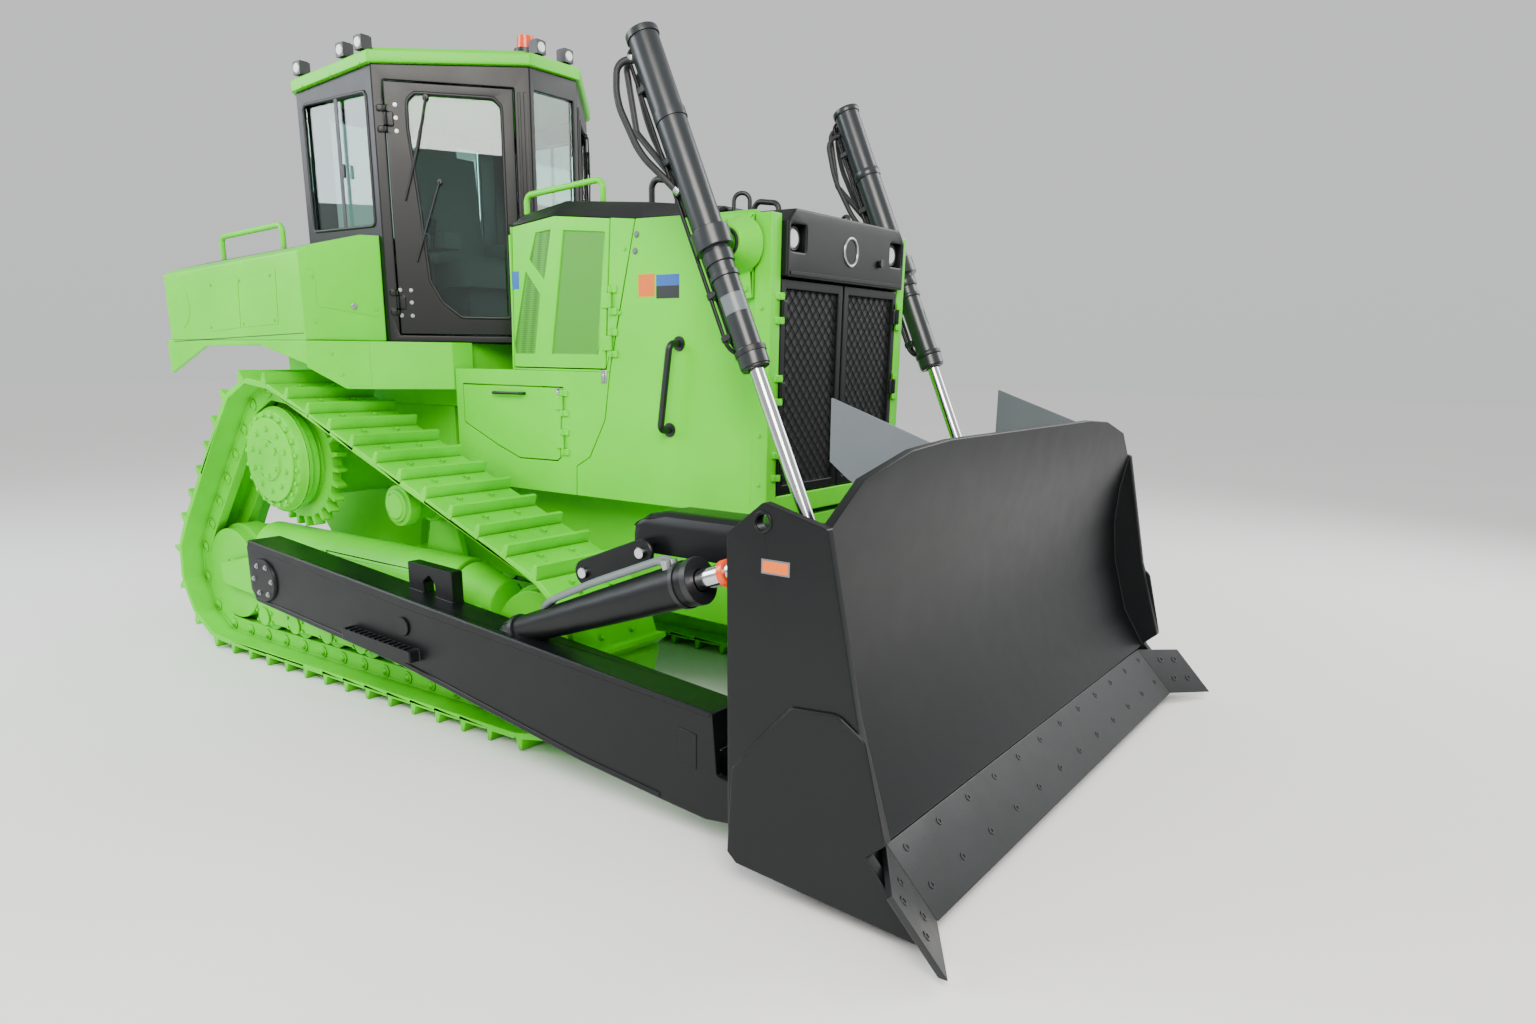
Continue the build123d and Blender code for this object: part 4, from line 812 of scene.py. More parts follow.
@dataclass
class Bodywork:
    """The CAD nodes that keep their shape and get rounded edges and paint."""

    rounded: dict[Shop, dict[str, float]] = field(default_factory=lambda: {
        Shop.LIME: {"engine_sides": 0.003, "radiator_guard": 0.006, "yoke_housings": 0.005,
                    "cab_roof": 0.012, "tanks": 0.010, "fenders": 0.005, "main_frame": 0.006,
                    "drawbar": 0.006, **dict.fromkeys(both("vent_door", "tool_door"), 0.003)},
        Shop.TRACK: {"tracks": 0.005, "track_wheels": 0.005, "final_drives": 0.006,
                     "track_frames": 0.008},
        Shop.CHARCOAL: {"hood_cover": 0.008, "front_cowl": 0.010, "blade": 0.006,
                        **dict.fromkeys(both("push_arm"), 0.008),
                        **dict.fromkeys(both("grille_door"), 0.004), "brace_covers": 0.03},
        Shop.BARREL: dict.fromkeys(both("lift_barrel"), 0.004),
        Shop.CAB: {"cab_shell": 0.006, **dict.fromkeys(both("cab_door"), 0.006)},
        Shop.SILVER: {"guard_wings": 0.002},
        Shop.EDGE: {"cutting_edges": 0.005},
    })
    long_edged: tuple[str, ...] = ("blade",)
    vents: tuple[tuple[Spot, ...], ...] = (
        ((130, 2497), (410, 2474), (348, 1905), (22, 1905)),
        ((-92, 2500), (42, 2506), (-20, 2268), (-150, 2371)),
        ((-186, 2318), (-58, 2200), (-112, 1905), (-292, 1905), (-300, 1960)))
    core_depth: float = 0.030   # from a grille door's front back to what lies behind its wires
    plain: dict[Shop, tuple[str, ...]] = field(default_factory=lambda: {
        Shop.LIME: ("green_rails",),
        Shop.BLACK: ("black_rails", "console", "headlamps", "roof_lamps"),
        Shop.CHROME: both("lift_rod", "tilt_rod"),
        Shop.GLASS: ("cab_windows", *both("door_glass")),
        Shop.RUBBER: both("lift_hose"),
        Shop.CLOTH: ("seat",),
        Shop.AMBER: ("beacon",),
        Shop.IRON: ("engine_block",),
        Shop.CORE: ("radiator_core",),
        Shop.ZINC: ("trunnion_balls",),
    })

    def build(self) -> None:
        """Finishes the nodes."""
        copies = {}
        for finish, nodes in self.rounded.items():
            for node, width in nodes.items():
                copies[node] = Bench.dress(
                    Bench.softened(node, width, node in self.long_edged), finish, None)
                LOG.info("rounded %s: %d faces", node, len(copies[node].data.polygons))
        for finish, nodes in self.plain.items():
            for node in nodes:
                materials = frame["nodes"][node].data.materials
                materials.clear()
                materials.append(finish.material)
                LOG.info("finished %s", node)
        Bench.touch_up(copies["tanks"], Shop.GRIT, self.on_tank_slope)
        for vent_door, grille_door in zip(both("vent_door"), both("grille_door")):
            # the vent floors take the darker vent sheet: painted shade in the recesses
            Bench.touch_up(copies[vent_door], Shop.VENT, self.in_vent)
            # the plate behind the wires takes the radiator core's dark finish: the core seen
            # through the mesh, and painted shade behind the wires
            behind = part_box(grille_door)[1][0] - self.core_depth
            Bench.touch_up(copies[grille_door], Shop.CORE,
                           lambda spot, way: way.x > 0.9 and spot.x < behind)

    @staticmethod
    def on_tank_slope(spot: Vector, way: Vector) -> bool:
        """Tells whether a face is a tank's sloping top, which is gritted to stand on."""
        return way.z > 0.9 and abs(way.y) > 0.1

    def in_vent(self, spot: Vector, way: Vector) -> bool:
        """Tells whether a face is the floor of one of the vents.

        Args:
            spot: The face's centre.
            way: Its normal.

        Returns:
            Whether it is.
        """
        x, z = spot.x * 1000, spot.z * 1000
        for corners in self.vents:
            crossings = sum(
                (z1 > z) != (z2 > z) and x < x1 + (z - z1) * (x2 - x1) / (z2 - z1)
                for (x1, z1), (x2, z2) in zip(corners, corners[1:] + corners[:1]))
            if crossings % 2 and abs(way.y) > 0.8:
                return True
        return False


# ---------------------------------------------------------------- where details go
JOINTS = {joint["name"]: joint for joint in frame["record"]["behaviour"]["joints"]}


def mm(*values: float) -> Point:
    """Turns millimetres into metres."""
    return tuple(value / 1000 for value in values)


def rect(left: float, right: float, first: float, last: float) -> list[Spot]:
    """Corners of a rectangle, from its first height to its last."""
    return [(left, first), (right, first), (right, last), (left, last)]


def arc(centre: Spot, radius: float, count: int, start: float = 0.0,
        sweep: float = math.tau) -> list[Spot]:
    """Lays spots round a centre.

    Args:
        centre: The centre.
        radius: Distance from it.
        count: Number of spots.
        start: Angle of the first, radians.
        sweep: Angle that they share, a full turn unless given.

    Returns:
        The spots, evenly spaced.
    """
    turns = [start + sweep * number / count for number in range(count)]
    return [(centre[0] + radius * math.cos(turn), centre[1] + radius * math.sin(turn))
            for turn in turns]


def lifted(spots: Sequence[Spot], lift: float) -> list[Point]:
    """Gives spots on a face a lift off it."""
    return [(*spot, lift) for spot in spots]


def loose_parts(node: str) -> list[tuple[Vector, Vector]]:
    """Finds the box of each loose solid of a CAD node.

    Args:
        node: The node's name.

    Returns:
        Low and high corner of each, rearmost first and right before left.
    """
    shape = bmesh.new()
    shape.from_mesh(frame["nodes"][node].data)
    bmesh.ops.remove_doubles(shape, verts=shape.verts, dist=WELD)
    left, boxes = set(shape.verts), []
    while left:
        found, edge = set(), [left.pop()]
        while edge:
            vert = edge.pop()
            found.add(vert)
            near = {link.other_vert(vert) for link in vert.link_edges} & left
            left -= near
            edge.extend(near)
        boxes.append(tuple(Vector([side(vert.co[i] for vert in found) for i in range(3)])
                           for side in (min, max)))
    shape.free()
    return sorted(boxes, key=lambda box: (round(box[0].x, 3), box[0].y))


@dataclass(frozen=True)
class Face:
    """A flat face of the machine, on which details are laid out in millimetres."""

    origin: Point               # metres
    along: Point = (1, 0, 0)
    outward: Point = (0, -1, 0)

    def at(self, run: float, height: float, lift: float = 0.0) -> Point:
        """Point at a run along the face, a height and a lift off it."""
        spot = (Vector(self.origin) + Vector(self.along) * run / 1000
                + Vector(self.outward) * lift / 1000 + Vector((0, 0, height / 1000)))
        return tuple(spot)

    def plate(self, name: str, spots: Sequence[Spot], thick: float, edge: float = 0.0) -> Piece:
        """Lays a plate on the face, sunk by a hair.

        Args:
            name: Name of the piece.
            spots: Its outline.
            thick: How far it stands off the face.
            edge: Width of its rounded edges, or none.

        Returns:
            The plate.
        """
        piece = Bench.plate(name, [self.at(*spot, SUNK) for spot in spots],
                            tuple(Vector(self.outward) * (thick - SUNK) / 1000))
        return Bench.soften(piece, edge / 1000, 1) if edge else piece

    def tube(self, name: str, spots: Sequence[Point], radius: float, bend: float,
             closed: bool = False) -> Piece:
        """Lays a tube on the face through (run, height, lift) spots."""
        return Bench.tube(name, [self.at(*spot) for spot in spots], radius / 1000, bend / 1000,
                          closed)

    def boss(self, name: str, spot: Spot, lift: float, radius: float, top: float | None = None,
             edge: float = 2.0, sides: int = 28, foot: float = SUNK) -> Piece:
        """Stands a round boss on the face.

        Args:
            name: Name of the piece.
            spot: Its middle.
            lift: How far its top is off the face.
            radius: Radius at its foot.
            top: Radius at its top, where it tapers.
            edge: Width of its rounded edges.
            sides: Facets round it.
            foot: How far its foot is off the face.

        Returns:
            The boss.
        """
        bar = Bench.bar(name, self.at(*spot, foot), self.at(*spot, lift), radius / 1000,
                        None if top is None else top / 1000, sides)
        return Bench.soften(bar, edge / 1000)

    def places(self, spots: Sequence[Spot], lift: float = -0.3) -> list[Matrix]:
        """Places of masters that stand on the face."""
        return [facing(self.at(*spot, lift), self.outward) for spot in spots]


BENCH_TOP = Face((0, 0, 0), (1, 0, 0), (0, 0, 1))       # where masters are modelled
MIDDLE = (0, 0)
SIDE = Face((0, -0.608, 0))                             # the engine's side


@dataclass(frozen=True)
class Stem:
    """A cylinder's middle line, along which details are laid out in millimetres."""

    origin: Vector              # metres
    way: Vector
    up: Vector                  # across it, to the side that carries the hoses

    def at(self, run: float, out: float = 0.0, above: float = 0.0) -> Point:
        """Point by the cylinder: along it, outward and above it."""
        return tuple(self.origin
                     + (self.way * run + Vector((0, -out, 0)) + self.up * above) / 1000)

    def ring(self, start: float, end: float, outer: float, inner: float) -> Piece:
        """Turns a rounded ring round the cylinder, between two distances along it."""
        return Bench.ring("ring", self.at(start), self.at(end), outer / 1000, inner / 1000)

    def tube(self, spots: Sequence[Point], radius: float, bend: float) -> Piece:
        """Lays a tube by the cylinder through (run, outward, above) spots."""
        return Bench.tube("tube", [self.at(*spot) for spot in spots], radius / 1000,
                          bend / 1000)


class Fastener(Enum):
    """Fasteners modelled once; the value is the radius in millimetres."""

    SHOE_BOLT = 14.0
    FRAME_BOLT = 11.0
    PANEL_BOLT = 8.0
    SMALL_BOLT = 5.5

    def part(self, name: str, low: float, high: float, radius: float, edge: float,
             sides: int) -> Piece:
        """Models the washer or the head, all sizes over the bolt's radius.

        Args:
            name: Name of the piece.
            low: Height of its foot.
            high: Height of its top.
            radius: Its radius.
            edge: Width of its rounded edges.
            sides: Facets round it.

        Returns:
            The washer or the head.
        """
        size = self.value / 1000
        return Bench.soften(Bench.bar(name, (0, 0, size * low), (0, 0, size * high),
                                      size * radius, sides=sides), size * edge, 1)

    def place(self, name: str, places: Sequence[Matrix], finish: Shop,
              body: str = "machine") -> None:
        """Puts a hexagon-headed bolt with a washer at every place on both sides.

        Args:
            name: Name of both halves, without the side.
            places: Where the bolts go on the right.
            finish: What they are painted with.
            body: Body they ride on.
        """
        bolt = Bench.join([self.part("washer", 0, 0.28, 1.35, 0.08, 20),
                           self.part("head", 0.2, 0.95, 1, 0.12, 6)], "bolt")
        Bench.scatter(bolt, name, places, finish, body)


def countersunk(size: float) -> Piece:
    """Models a countersunk plug with a socket.

    Args:
        size: Its radius, millimetres.

    Returns:
        The plug.
    """
    radius = size / 1000
    plug = Bench.bar("plug", (0, 0, -radius * 0.3), (0, 0, radius * 0.16), radius, radius * 0.9,
                     sides=24)
    return Bench.smooth(Bench.dished(plug, lambda spot, way: way.z > 0.9, radius * 0.42,
                                     (0, 0, -radius * 0.35)), 30)


# ---------------------------------------------------------------- sub-assemblies
@dataclass
class Undercarriage:
    """Shoe bolts, link bosses, hub and roller hardware of both tracks."""

    link_side: float = 1.1245   # from the middle to the links' outer side
    shoe_bolt_steps: Spot = (0.032, 0.105)      # from a shoe's middle, along and across
    shoe_area: float = 0.05
    pin: Spot = (0.090, 0.080)  # from a shoe's middle, along and inward
    hub_bolts: tuple = (        # name, size, number, radius and lift
        ("hub_rim_bolts", Fastener.SHOE_BOLT, 20, 264, -30.3),
        ("hub_cover_bolts", Fastener.SHOE_BOLT, 10, 180, -10.3),
        ("hub_cap_bolts", Fastener.FRAME_BOLT, 6, 92, -0.3))
    rollers: tuple[float, ...] = tuple(-2.04 + 0.34 * i for i in range(7))
    roller_side: float = 1.180
    roller_height: float = 0.105
    roller_bolt: Spot = (78, 30)    # from a roller's middle

    def shoe_flats(self) -> list[tuple[Vector, Vector]]:
        """Finds the outer flat of each right-hand shoe.

        Returns:
            Centre and normal of each flat.
        """
        shape = bmesh.new()
        shape.from_mesh(frame["nodes"]["tracks"].data)
        bmesh.ops.remove_doubles(shape, verts=shape.verts, dist=WELD)
        bmesh.ops.dissolve_limit(shape, angle_limit=math.radians(1), verts=shape.verts,
                                 edges=shape.edges)
        middle = sum((Vector(corner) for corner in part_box("tracks")), Vector()) / 2
        flats = []
        for face in shape.faces:
            centre = face.calc_center_median()
            away = centre - Vector((middle.x, centre.y, middle.z))
            if (face.calc_area() > self.shoe_area and abs(face.normal.y) < 0.01
                    and centre.y < 0 and face.normal.dot(away) > 0):
                flats.append((centre, face.normal.copy()))
        shape.free()
        return flats

    def shoes(self) -> None:
        """Adds the shoes' bolts and the bosses of the links' pins."""
        bolts, bosses = [], []
        step, aside = self.shoe_bolt_steps
        for centre, normal in self.shoe_flats():
            along = normal.cross(Vector((0, 1, 0)))
            bolts += [facing(centre + Vector((0, a * aside, 0)) + along * (b * step)
                             - normal * 0.0003, normal) for a in (-1, 1) for b in (-1, 1)]
            pin = centre - normal * self.pin[1] + along * self.pin[0]
            bosses.append(facing((pin.x, -self.link_side, pin.z), (0, -1, 0)))
        LOG.info("%d shoe bolts", len(bolts))
        Fastener.SHOE_BOLT.place("shoe_bolts", bolts, Shop.TRACK)
        boss = Bench.dished(BENCH_TOP.boss("boss", MIDDLE, 8, 34, sides=24, foot=0),
                            lambda spot, way: way.z > 0.99 and spot.z > 0.007, 0.010,
                            (0, 0, 0.004))
        Bench.scatter(boss, "link_bosses", bosses, Shop.TRACK)

    def build(self) -> None:
        """Adds the hardware."""
        self.shoes()
        low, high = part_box("final_drives")
        hub = Face(((low[0] + high[0]) / 2, low[1], (low[2] + high[2]) / 2))
        for name, bolt, count, radius, lift in self.hub_bolts:
            ring = arc(MIDDLE, radius, count, start=math.pi / count)
            bolt.place(name, hub.places(ring, lift), Shop.LIME)
        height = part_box("track_wheels")[0][2] + self.roller_height
        caps = [facing((x, -self.roller_side, height), (0, -1, 0)) for x in self.rollers]
        cap = BENCH_TOP.boss("cap", MIDDLE, 14, 58, edge=4, sides=32, foot=-0.3)
        Bench.scatter(cap, "roller_caps", caps, Shop.TRACK)
        run, rise = self.roller_bolt
        spots = [(x * 1000 + run * a, height * 1000 + rise * b)
                 for x in self.rollers for a in (-1, 1) for b in (-1, 1)]
        Fastener.FRAME_BOLT.place("roller_bolts", Face((0, -self.roller_side, 0)).places(spots),
                                  Shop.TRACK)


@dataclass
class Enclosure:
    """Labels without print, pulls, latches and fittings of the engine's sides."""

    lean: float = 0.158         # how the rear part turns in towards the cab
    fold: Spot = (17.0, 0.187)  # fold's place at a height of 2277 mm and its lean
    films: tuple = (            # name, finish and outline
        ("orange_film", Shop.FILM_ORANGE, (624, 725, 2272, 2172)),
        ("blue_film", Shop.FILM_BLUE, (735, 874, 2268, 2218)),
        ("black_film", Shop.FILM_BLACK, (735, 874, 2218, 2162)))
    rear_film: tuple = (-312, -245, 2321, 2232)
    pull: tuple[Point, ...] = ((-425, 1698, -1), (-425, 1698, 26), (-190, 1700, 26),
                               (-190, 1700, -1))
    lock: Spot = (67, 1720)
    latch: tuple = (372, 408, 1768, 1832)
    lever: tuple[Spot, ...] = ((381, 1776), (399, 1776), (395, 1815), (385, 1815))
    studs: tuple[Spot, ...] = ((616, 2451), (606, 2378))
    guard_bolts: tuple[Spot, ...] = ((1350, 1340), (1350, 1560), (1350, 1860), (1350, 2110))
    side_bolts: tuple[Spot, ...] = ((540, 2390), (505, 2100))
    handle_feet: tuple[Spot, ...] = ((874, 1959), (816, 1559))

    def bent(self, x: float, z: float, lift: float) -> Point:
        """Point on the turned-in rear part."""
        crease = self.fold[0] + self.fold[1] * (z - 2277)
        return mm(x, -608 + (crease - x) * self.lean - lift, z)

    def build(self) -> None:
        """Adds the fittings."""
        for name, finish, outline in self.films:
            Bench.pair(SIDE.plate(name, rect(*outline), 0.8), name, finish)
        film = Bench.plate("film", [self.bent(*spot, SUNK) for spot in rect(*self.rear_film)],
                           mm(-self.lean * 1.2, -1.2, 0.03))
        Bench.pair(film, "rear_film", Shop.FILM_BLUE, "vent_door_{side}_body")
        Bench.pair(SIDE.tube("pull", self.pull, 8, 16), "tool_door_pull", Shop.BLACK,
                   "tool_door_{side}_body")
        lock = Bench.dished(SIDE.boss("lock", self.lock, 7, 17),
                            lambda spot, way: way.y < -0.99 and spot.y < -0.6145, 0.005,
                            (0, 0.003, 0))
        Bench.pair(lock, "tool_door_lock", Shop.ZINC, "tool_door_{side}_body")
        latch = Bench.join([SIDE.plate("latch", rect(*self.latch), 5, 2),
                            SIDE.plate("lever", self.lever, 13, 3)], "latch")
        Bench.pair(latch, "side_latch", Shop.ZINC)
        Bench.scatter(BENCH_TOP.boss("stud", MIDDLE, 9, 16, 12, edge=3), "side_studs",
                      SIDE.places(self.studs), Shop.SILVER)
        guard = Face((0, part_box("radiator_guard")[0][1], 0))
        Fastener.PANEL_BOLT.place("guard_bolts", guard.places(self.guard_bolts), Shop.LIME)
        Fastener.PANEL_BOLT.place("side_bolts", SIDE.places(self.side_bolts), Shop.LIME)
        Bench.scatter(BENCH_TOP.boss("pad", MIDDLE, 8, 34, foot=-0.3), "handle_pads",
                      SIDE.places(self.handle_feet), Shop.BLACK)


@dataclass
class RadiatorEnd:
    """Wire mesh, lamps, bare badge ring, knob and lifting hoop of the nose."""

    pitch: float = 0.042        # between the wires
    wire: float = 0.005
    wire_depth: float = 0.034   # from a door's front
    rims: Point = (0.040, 0.033, 0.033)     # door's frame: outer side, inner side, top and foot
    overlap: float = 0.008      # how far the wires go into the frame
    badge: tuple = ((0, 2384), 62, 24)
    knob: Spot = (285, 2352)
    cowl_rim: tuple = (-520, 520, 2252, 2268)
    hoop_feet: tuple[Spot, ...] = ((1.085, -0.478), (1.150, -0.445))
    hoop_rise: float = 0.085
    lamp_order: tuple[int, ...] = (1, 0)    # the lamps as numbered, of right before left
    lens: tuple[float, float] = (0.043, 0.036)      # radius at foot and top
    bezel: tuple[float, float] = (0.047, 0.006)     # radius of the ring and of its section
    yoke_side: float = 0.638
    yoke_bolts: tuple[Spot, ...] = ((1155, 2470), (1155, 2190), (1275, 2190), (1275, 2470),
                                    (1120, 2400))

    def mesh(self) -> None:
        """Adds the diamond wire mesh of both doors."""
        low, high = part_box("grille_door_right")
        outer, inner, ends = self.rims
        y_low, y_high = low[1] + outer, high[1] - inner
        z_low, z_high = low[2] + ends, high[2] - ends
        reach = (y_high - y_low + z_high - z_low) / 2
        cells = 2 * math.ceil(reach / self.pitch / 1.41)
        for side, sign in (("right", 1), ("left", -1)):
            bpy.ops.mesh.primitive_grid_add(x_subdivisions=cells, y_subdivisions=cells,
                                            size=cells * self.pitch, location=(0, 0, 0),
                                            rotation=(0, 0, math.pi / 4))
            piece = Bench.settle(bpy.context.object, f"grille_wires_{side}")
            near, far = sorted((y_low * sign, y_high * sign))
            with editing(piece):
                bpy.ops.transform.rotate(value=math.pi / 2, orient_axis="Y",
                                         center_override=(0, 0, 0))
                bpy.ops.transform.translate(value=(high[0] - self.wire_depth,
                                                   (y_low + y_high) / 2 * sign,
                                                   (z_low + z_high) / 2))
                Bench.choose(piece, lambda spot, way: not (
                    near - self.overlap < spot.y < far + self.overlap
                    and z_low - self.overlap < spot.z < z_high + self.overlap))
                bpy.ops.mesh.delete(type="FACE")
            Bench.modify(piece, "WIREFRAME", thickness=self.wire, use_even_offset=True,
                         use_boundary=True)
            Bench.dress(piece, Shop.CHARCOAL, f"grille_door_{side}_body")

    def lamps(self) -> None:
        """Adds the headlamps' lenses and bezels."""
        parts = loose_parts("headlamps")
        for number, place in enumerate(self.lamp_order):
            low, high = parts[place]
            centre = (low + high) / 2
            lens = Bench.bar(f"headlamp_lens_{number}", (high.x - 0.001, centre.y, centre.z),
                             (high.x + 0.008, centre.y, centre.z), *self.lens)
            Bench.dress(Bench.soften(lens, 0.002), Shop.LAMP)
            bpy.ops.mesh.primitive_torus_add(
                location=(high.x, centre.y, centre.z), rotation=(0, math.pi / 2, 0),
                major_radius=self.bezel[0], minor_radius=self.bezel[1], major_segments=40,
                minor_segments=10)
            bezel = Bench.settle(bpy.context.object, f"headlamp_bezel_{number}")
            with editing(bezel):
                Bench.choose(bezel, lambda spot, way: way.x > 0.3)
                bpy.ops.transform.translate(value=(0.002, 0, 0))
            Bench.dress(Bench.smooth(bezel, 60), Shop.BLACK)

    def build(self) -> None:
        """Adds the nose's parts."""
        self.lamps()
        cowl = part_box("front_cowl")[1]
        nose = Face((cowl[0], 0, 0), (0, 1, 0), (1, 0, 0))
        badge = nose.tube("badge_ring", lifted(arc(*self.badge), 0), 7, 8, closed=True)
        Bench.dress(badge, Shop.ZINC)
        Bench.dress(nose.boss("nose_knob", self.knob, 18, 16, 20, edge=4, sides=24), Shop.BLACK)
        Bench.dress(nose.plate("cowl_rim", rect(*self.cowl_rim), 4, 1.5), Shop.CHARCOAL)
        top = cowl[2]
        rear, front = self.hoop_feet
        hoop = Bench.tube("hoop", [(*rear, top - 0.002), (*rear, top + self.hoop_rise),
                                   (*front, top + self.hoop_rise), (*front, top - 0.002)],
                          0.010, 0.034)
        Bench.pair(hoop, "lifting_hoop", Shop.BLACK)
        Bench.scatter(BENCH_TOP.boss("foot", MIDDLE, 6, 22, sides=24, foot=0), "hoop_feet",
                      [facing((*spot, top - 0.0003), (0, 0, 1)) for spot in self.hoop_feet],
                      Shop.BLACK)
        flange = Face((0, -self.yoke_side, 0))
        Fastener.FRAME_BOLT.place("yoke_bolts", flange.places(self.yoke_bolts), Shop.LIME)
        x, _, z = JOINTS["lift_barrel_swing_right"]["pos_m"]
        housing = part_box("yoke_housings")[0][1]
        collar = Bench.walled(
            Bench.bar("collar", (x, housing + 0.001, z), (x, housing - 0.010, z), 0.062, 0.056,
                      sides=40), lambda spot, way: abs(way.y) > 0.9, 0.012, offset=-1)
        Bench.pair(Bench.smooth(collar), "yoke_collar", Shop.BLACK)
        self.mesh()


@dataclass
class Cab:
    """Gaskets, door hardware, wipers, roof lamps and the driver's levers."""

    run: Spot = (0.530, 0.630)  # the slanted door wall in plan
    corner: Point = (-1.050, -0.810, 0.0)
    door_pane: tuple[Spot, ...] = (
        (172, 3195), (212, 3235), (628, 3235), (668, 3195), (668, 2098), (400, 2098),
        (300, 2175), (238, 2290), (205, 2700), (170, 3060))
    side_pane: tuple = (-1695, -1105, 2570, 3236)
    stile: tuple = (-1392, -1362, 2572, 3234)
    pane_pull: tuple = (-1352, -1334, 2830, 2900)
    hinge_bolts: tuple[Spot, ...] = (
        *((112, z) for z in (3171, 3107, 3043)),
        *((s, z) for s in (72, 130) for z in (2237, 2172, 2102)))
    handle: tuple = (682, 722, 2480, 2600)
    grip: tuple[Point, ...] = ((690, 2590, 8), (690, 2590, 34), (690, 2500, 34), (690, 2500, 8))
    wipers: tuple = (           # pivot, elbow, and both ends of the blade
        ((272, 3215), (215, 2960), (135, 2702), (255, 3130)),
        ((318, 2800), (250, 2600), (175, 2390), (292, 2740)))
    ribs: Spot = (762, 795)
    rib: tuple = (-8, 8, 2040, 3270)
    roof_bolts: tuple[Spot, ...] = tuple((x, 3312 + 0.075 * x) for x in (150, 420, 690))
    # inside, from the seat's box: its rear and top, then its middle, side and foot
    head_rest: tuple[Point, Point] = ((0.01, -0.13, -0.02), (0.10, 0.13, 0.14))
    arm_rest: tuple[Point, Point] = ((-0.16, -0.05, 0.42), (0.20, 0.03, 0.48))
    stick: tuple[Point, Point] = ((0.17, -0.01, 0.47), (0.18, -0.01, 0.58))
    knob: tuple[Point, Point] = ((0.178, -0.01, 0.57), (0.19, -0.01, 0.66))
    # the lamps as numbered, of rearmost first and right before left
    lamp_order: tuple[int, ...] = (1, 0, 2, 3, 4, 5, 7, 6)
    lamp_middle: float = 0.033  # below a roof lamp's top, and half its depth
    rear_marker: tuple[Point, Point] = ((-1.905, -0.700, 3.020), (-1.872, -0.640, 3.090))

    @property
    def door(self) -> Face:
        """Face of the right-hand door."""
        length = math.hypot(*self.run)
        ahead = (self.run[0] / length, self.run[1] / length)
        return Face(self.corner, (*ahead, 0), (ahead[1], -ahead[0], 0))

    def gaskets(self) -> None:
        """Adds the rubber round the panes and the sliding pane's stile and pull."""
        body = "cab_door_{side}_body"
        Bench.pair(self.door.tube("gasket", lifted(self.door_pane, -1), 9, 14, closed=True),
                   "door_gasket", Shop.BLACK, body)
        wall = Face((0, self.corner[1], 0))
        Bench.pair(wall.tube("gasket", lifted(rect(*self.side_pane), -1), 9, 30, closed=True),
                   "side_gasket", Shop.BLACK)
        Bench.pair(wall.plate("stile", rect(*self.stile), 5, 1.5), "sliding_pane_stile",
                   Shop.BLACK)
        Bench.pair(wall.plate("pull", rect(*self.pane_pull), 14, 3), "sliding_pane_pull",
                   Shop.BLACK)

    def hardware(self) -> None:
        """Adds hinge bolts, handle, wipers and the ribs in front of the door."""
        door, body = self.door, "cab_door_{side}_body"
        Fastener.PANEL_BOLT.place("door_hinge_bolts", door.places(self.hinge_bolts), Shop.ZINC,
                                  body)
        handle = Bench.join([door.plate("handle", rect(*self.handle), 9, 3),
                             door.tube("grip", self.grip, 7, 12)], "handle")
        Bench.pair(handle, "door_handle", Shop.BLACK, body)
        for number, (pivot, elbow, low, high) in enumerate(self.wipers):
            wiper = [door.tube("arm", [(*pivot, 0), (*pivot, 24), (*elbow, 26), (*low, 14)],
                               5, 12),
                     door.tube("blade", [(*low, 9), (*high, 9)], 6, 2),
                     door.boss("pivot", pivot, 22, 18, 14, edge=3, sides=24)]
            Bench.pair(Bench.join(wiper, "wiper"), f"door_wiper_{number}", Shop.BLACK, body)
        left, right, foot, top = self.rib
        for number, run in enumerate(self.ribs):
            Bench.pair(door.plate("rib", rect(run + left, run + right, foot, top), 9, 3),
                       f"post_rib_{number}", Shop.CAB)

    def lamps(self) -> None:
        """Adds the lenses and visors of the roof's lamps."""
        parts = loose_parts("roof_lamps")
        for number, place in enumerate(self.lamp_order):
            low, high = parts[place]
            centre = (low + high) / 2
            at_front = centre.x > -0.6
            way = Vector((1, 0, 0)) if at_front else Vector((0, math.copysign(1, centre.y), 0))
            start = Vector((centre.x, centre.y, high.z - self.lamp_middle)) + way * 0.032
            lens = Bench.bar(f"roof_lamp_lens_{number}", start, start + way * 0.006, 0.027, 0.022,
                             sides=28)
            Bench.dress(Bench.soften(lens, 0.0015), Shop.LAMP)
            visor = Bench.block(f"roof_lamp_visor_{number}",
                                (low.x + 0.006, low.y + 0.006, high.z - 0.001),
                                (high.x - 0.006, high.y - 0.006, high.z + 0.006))
            Bench.dress(Bench.soften(visor, 0.003), Shop.BLACK)

    def roof(self) -> None:
        """Adds the beacon's collar, the rear markers and the roof's bolts."""
        low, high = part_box("beacon")
        x, y = (low[0] + high[0]) / 2, (low[1] + high[1]) / 2
        collar = Bench.walled(
            Bench.bar("beacon_collar", (x, y, low[2] + 0.004), (x, y, low[2] + 0.034), 0.060,
                      0.058, sides=40), lambda spot, way: abs(way.z) > 0.9, 0.005, offset=1)
        Bench.dress(Bench.smooth(collar), Shop.BLACK)
        Bench.pair(Bench.soften(Bench.block("marker", *self.rear_marker), 0.008), "rear_marker",
                   Shop.AMBER)
        edge = Face((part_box("cab_roof")[0][0] + 0.09, -0.835, 0))
        Fastener.SMALL_BOLT.place("roof_bolts", edge.places(self.roof_bolts), Shop.LIME)

    def controls(self) -> None:
        """Adds levers, arm rests and a head rest inside."""
        low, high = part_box("seat")
        rear, side = (low[0], 0, high[2]), ((low[0] + high[0]) / 2, low[1], low[2])

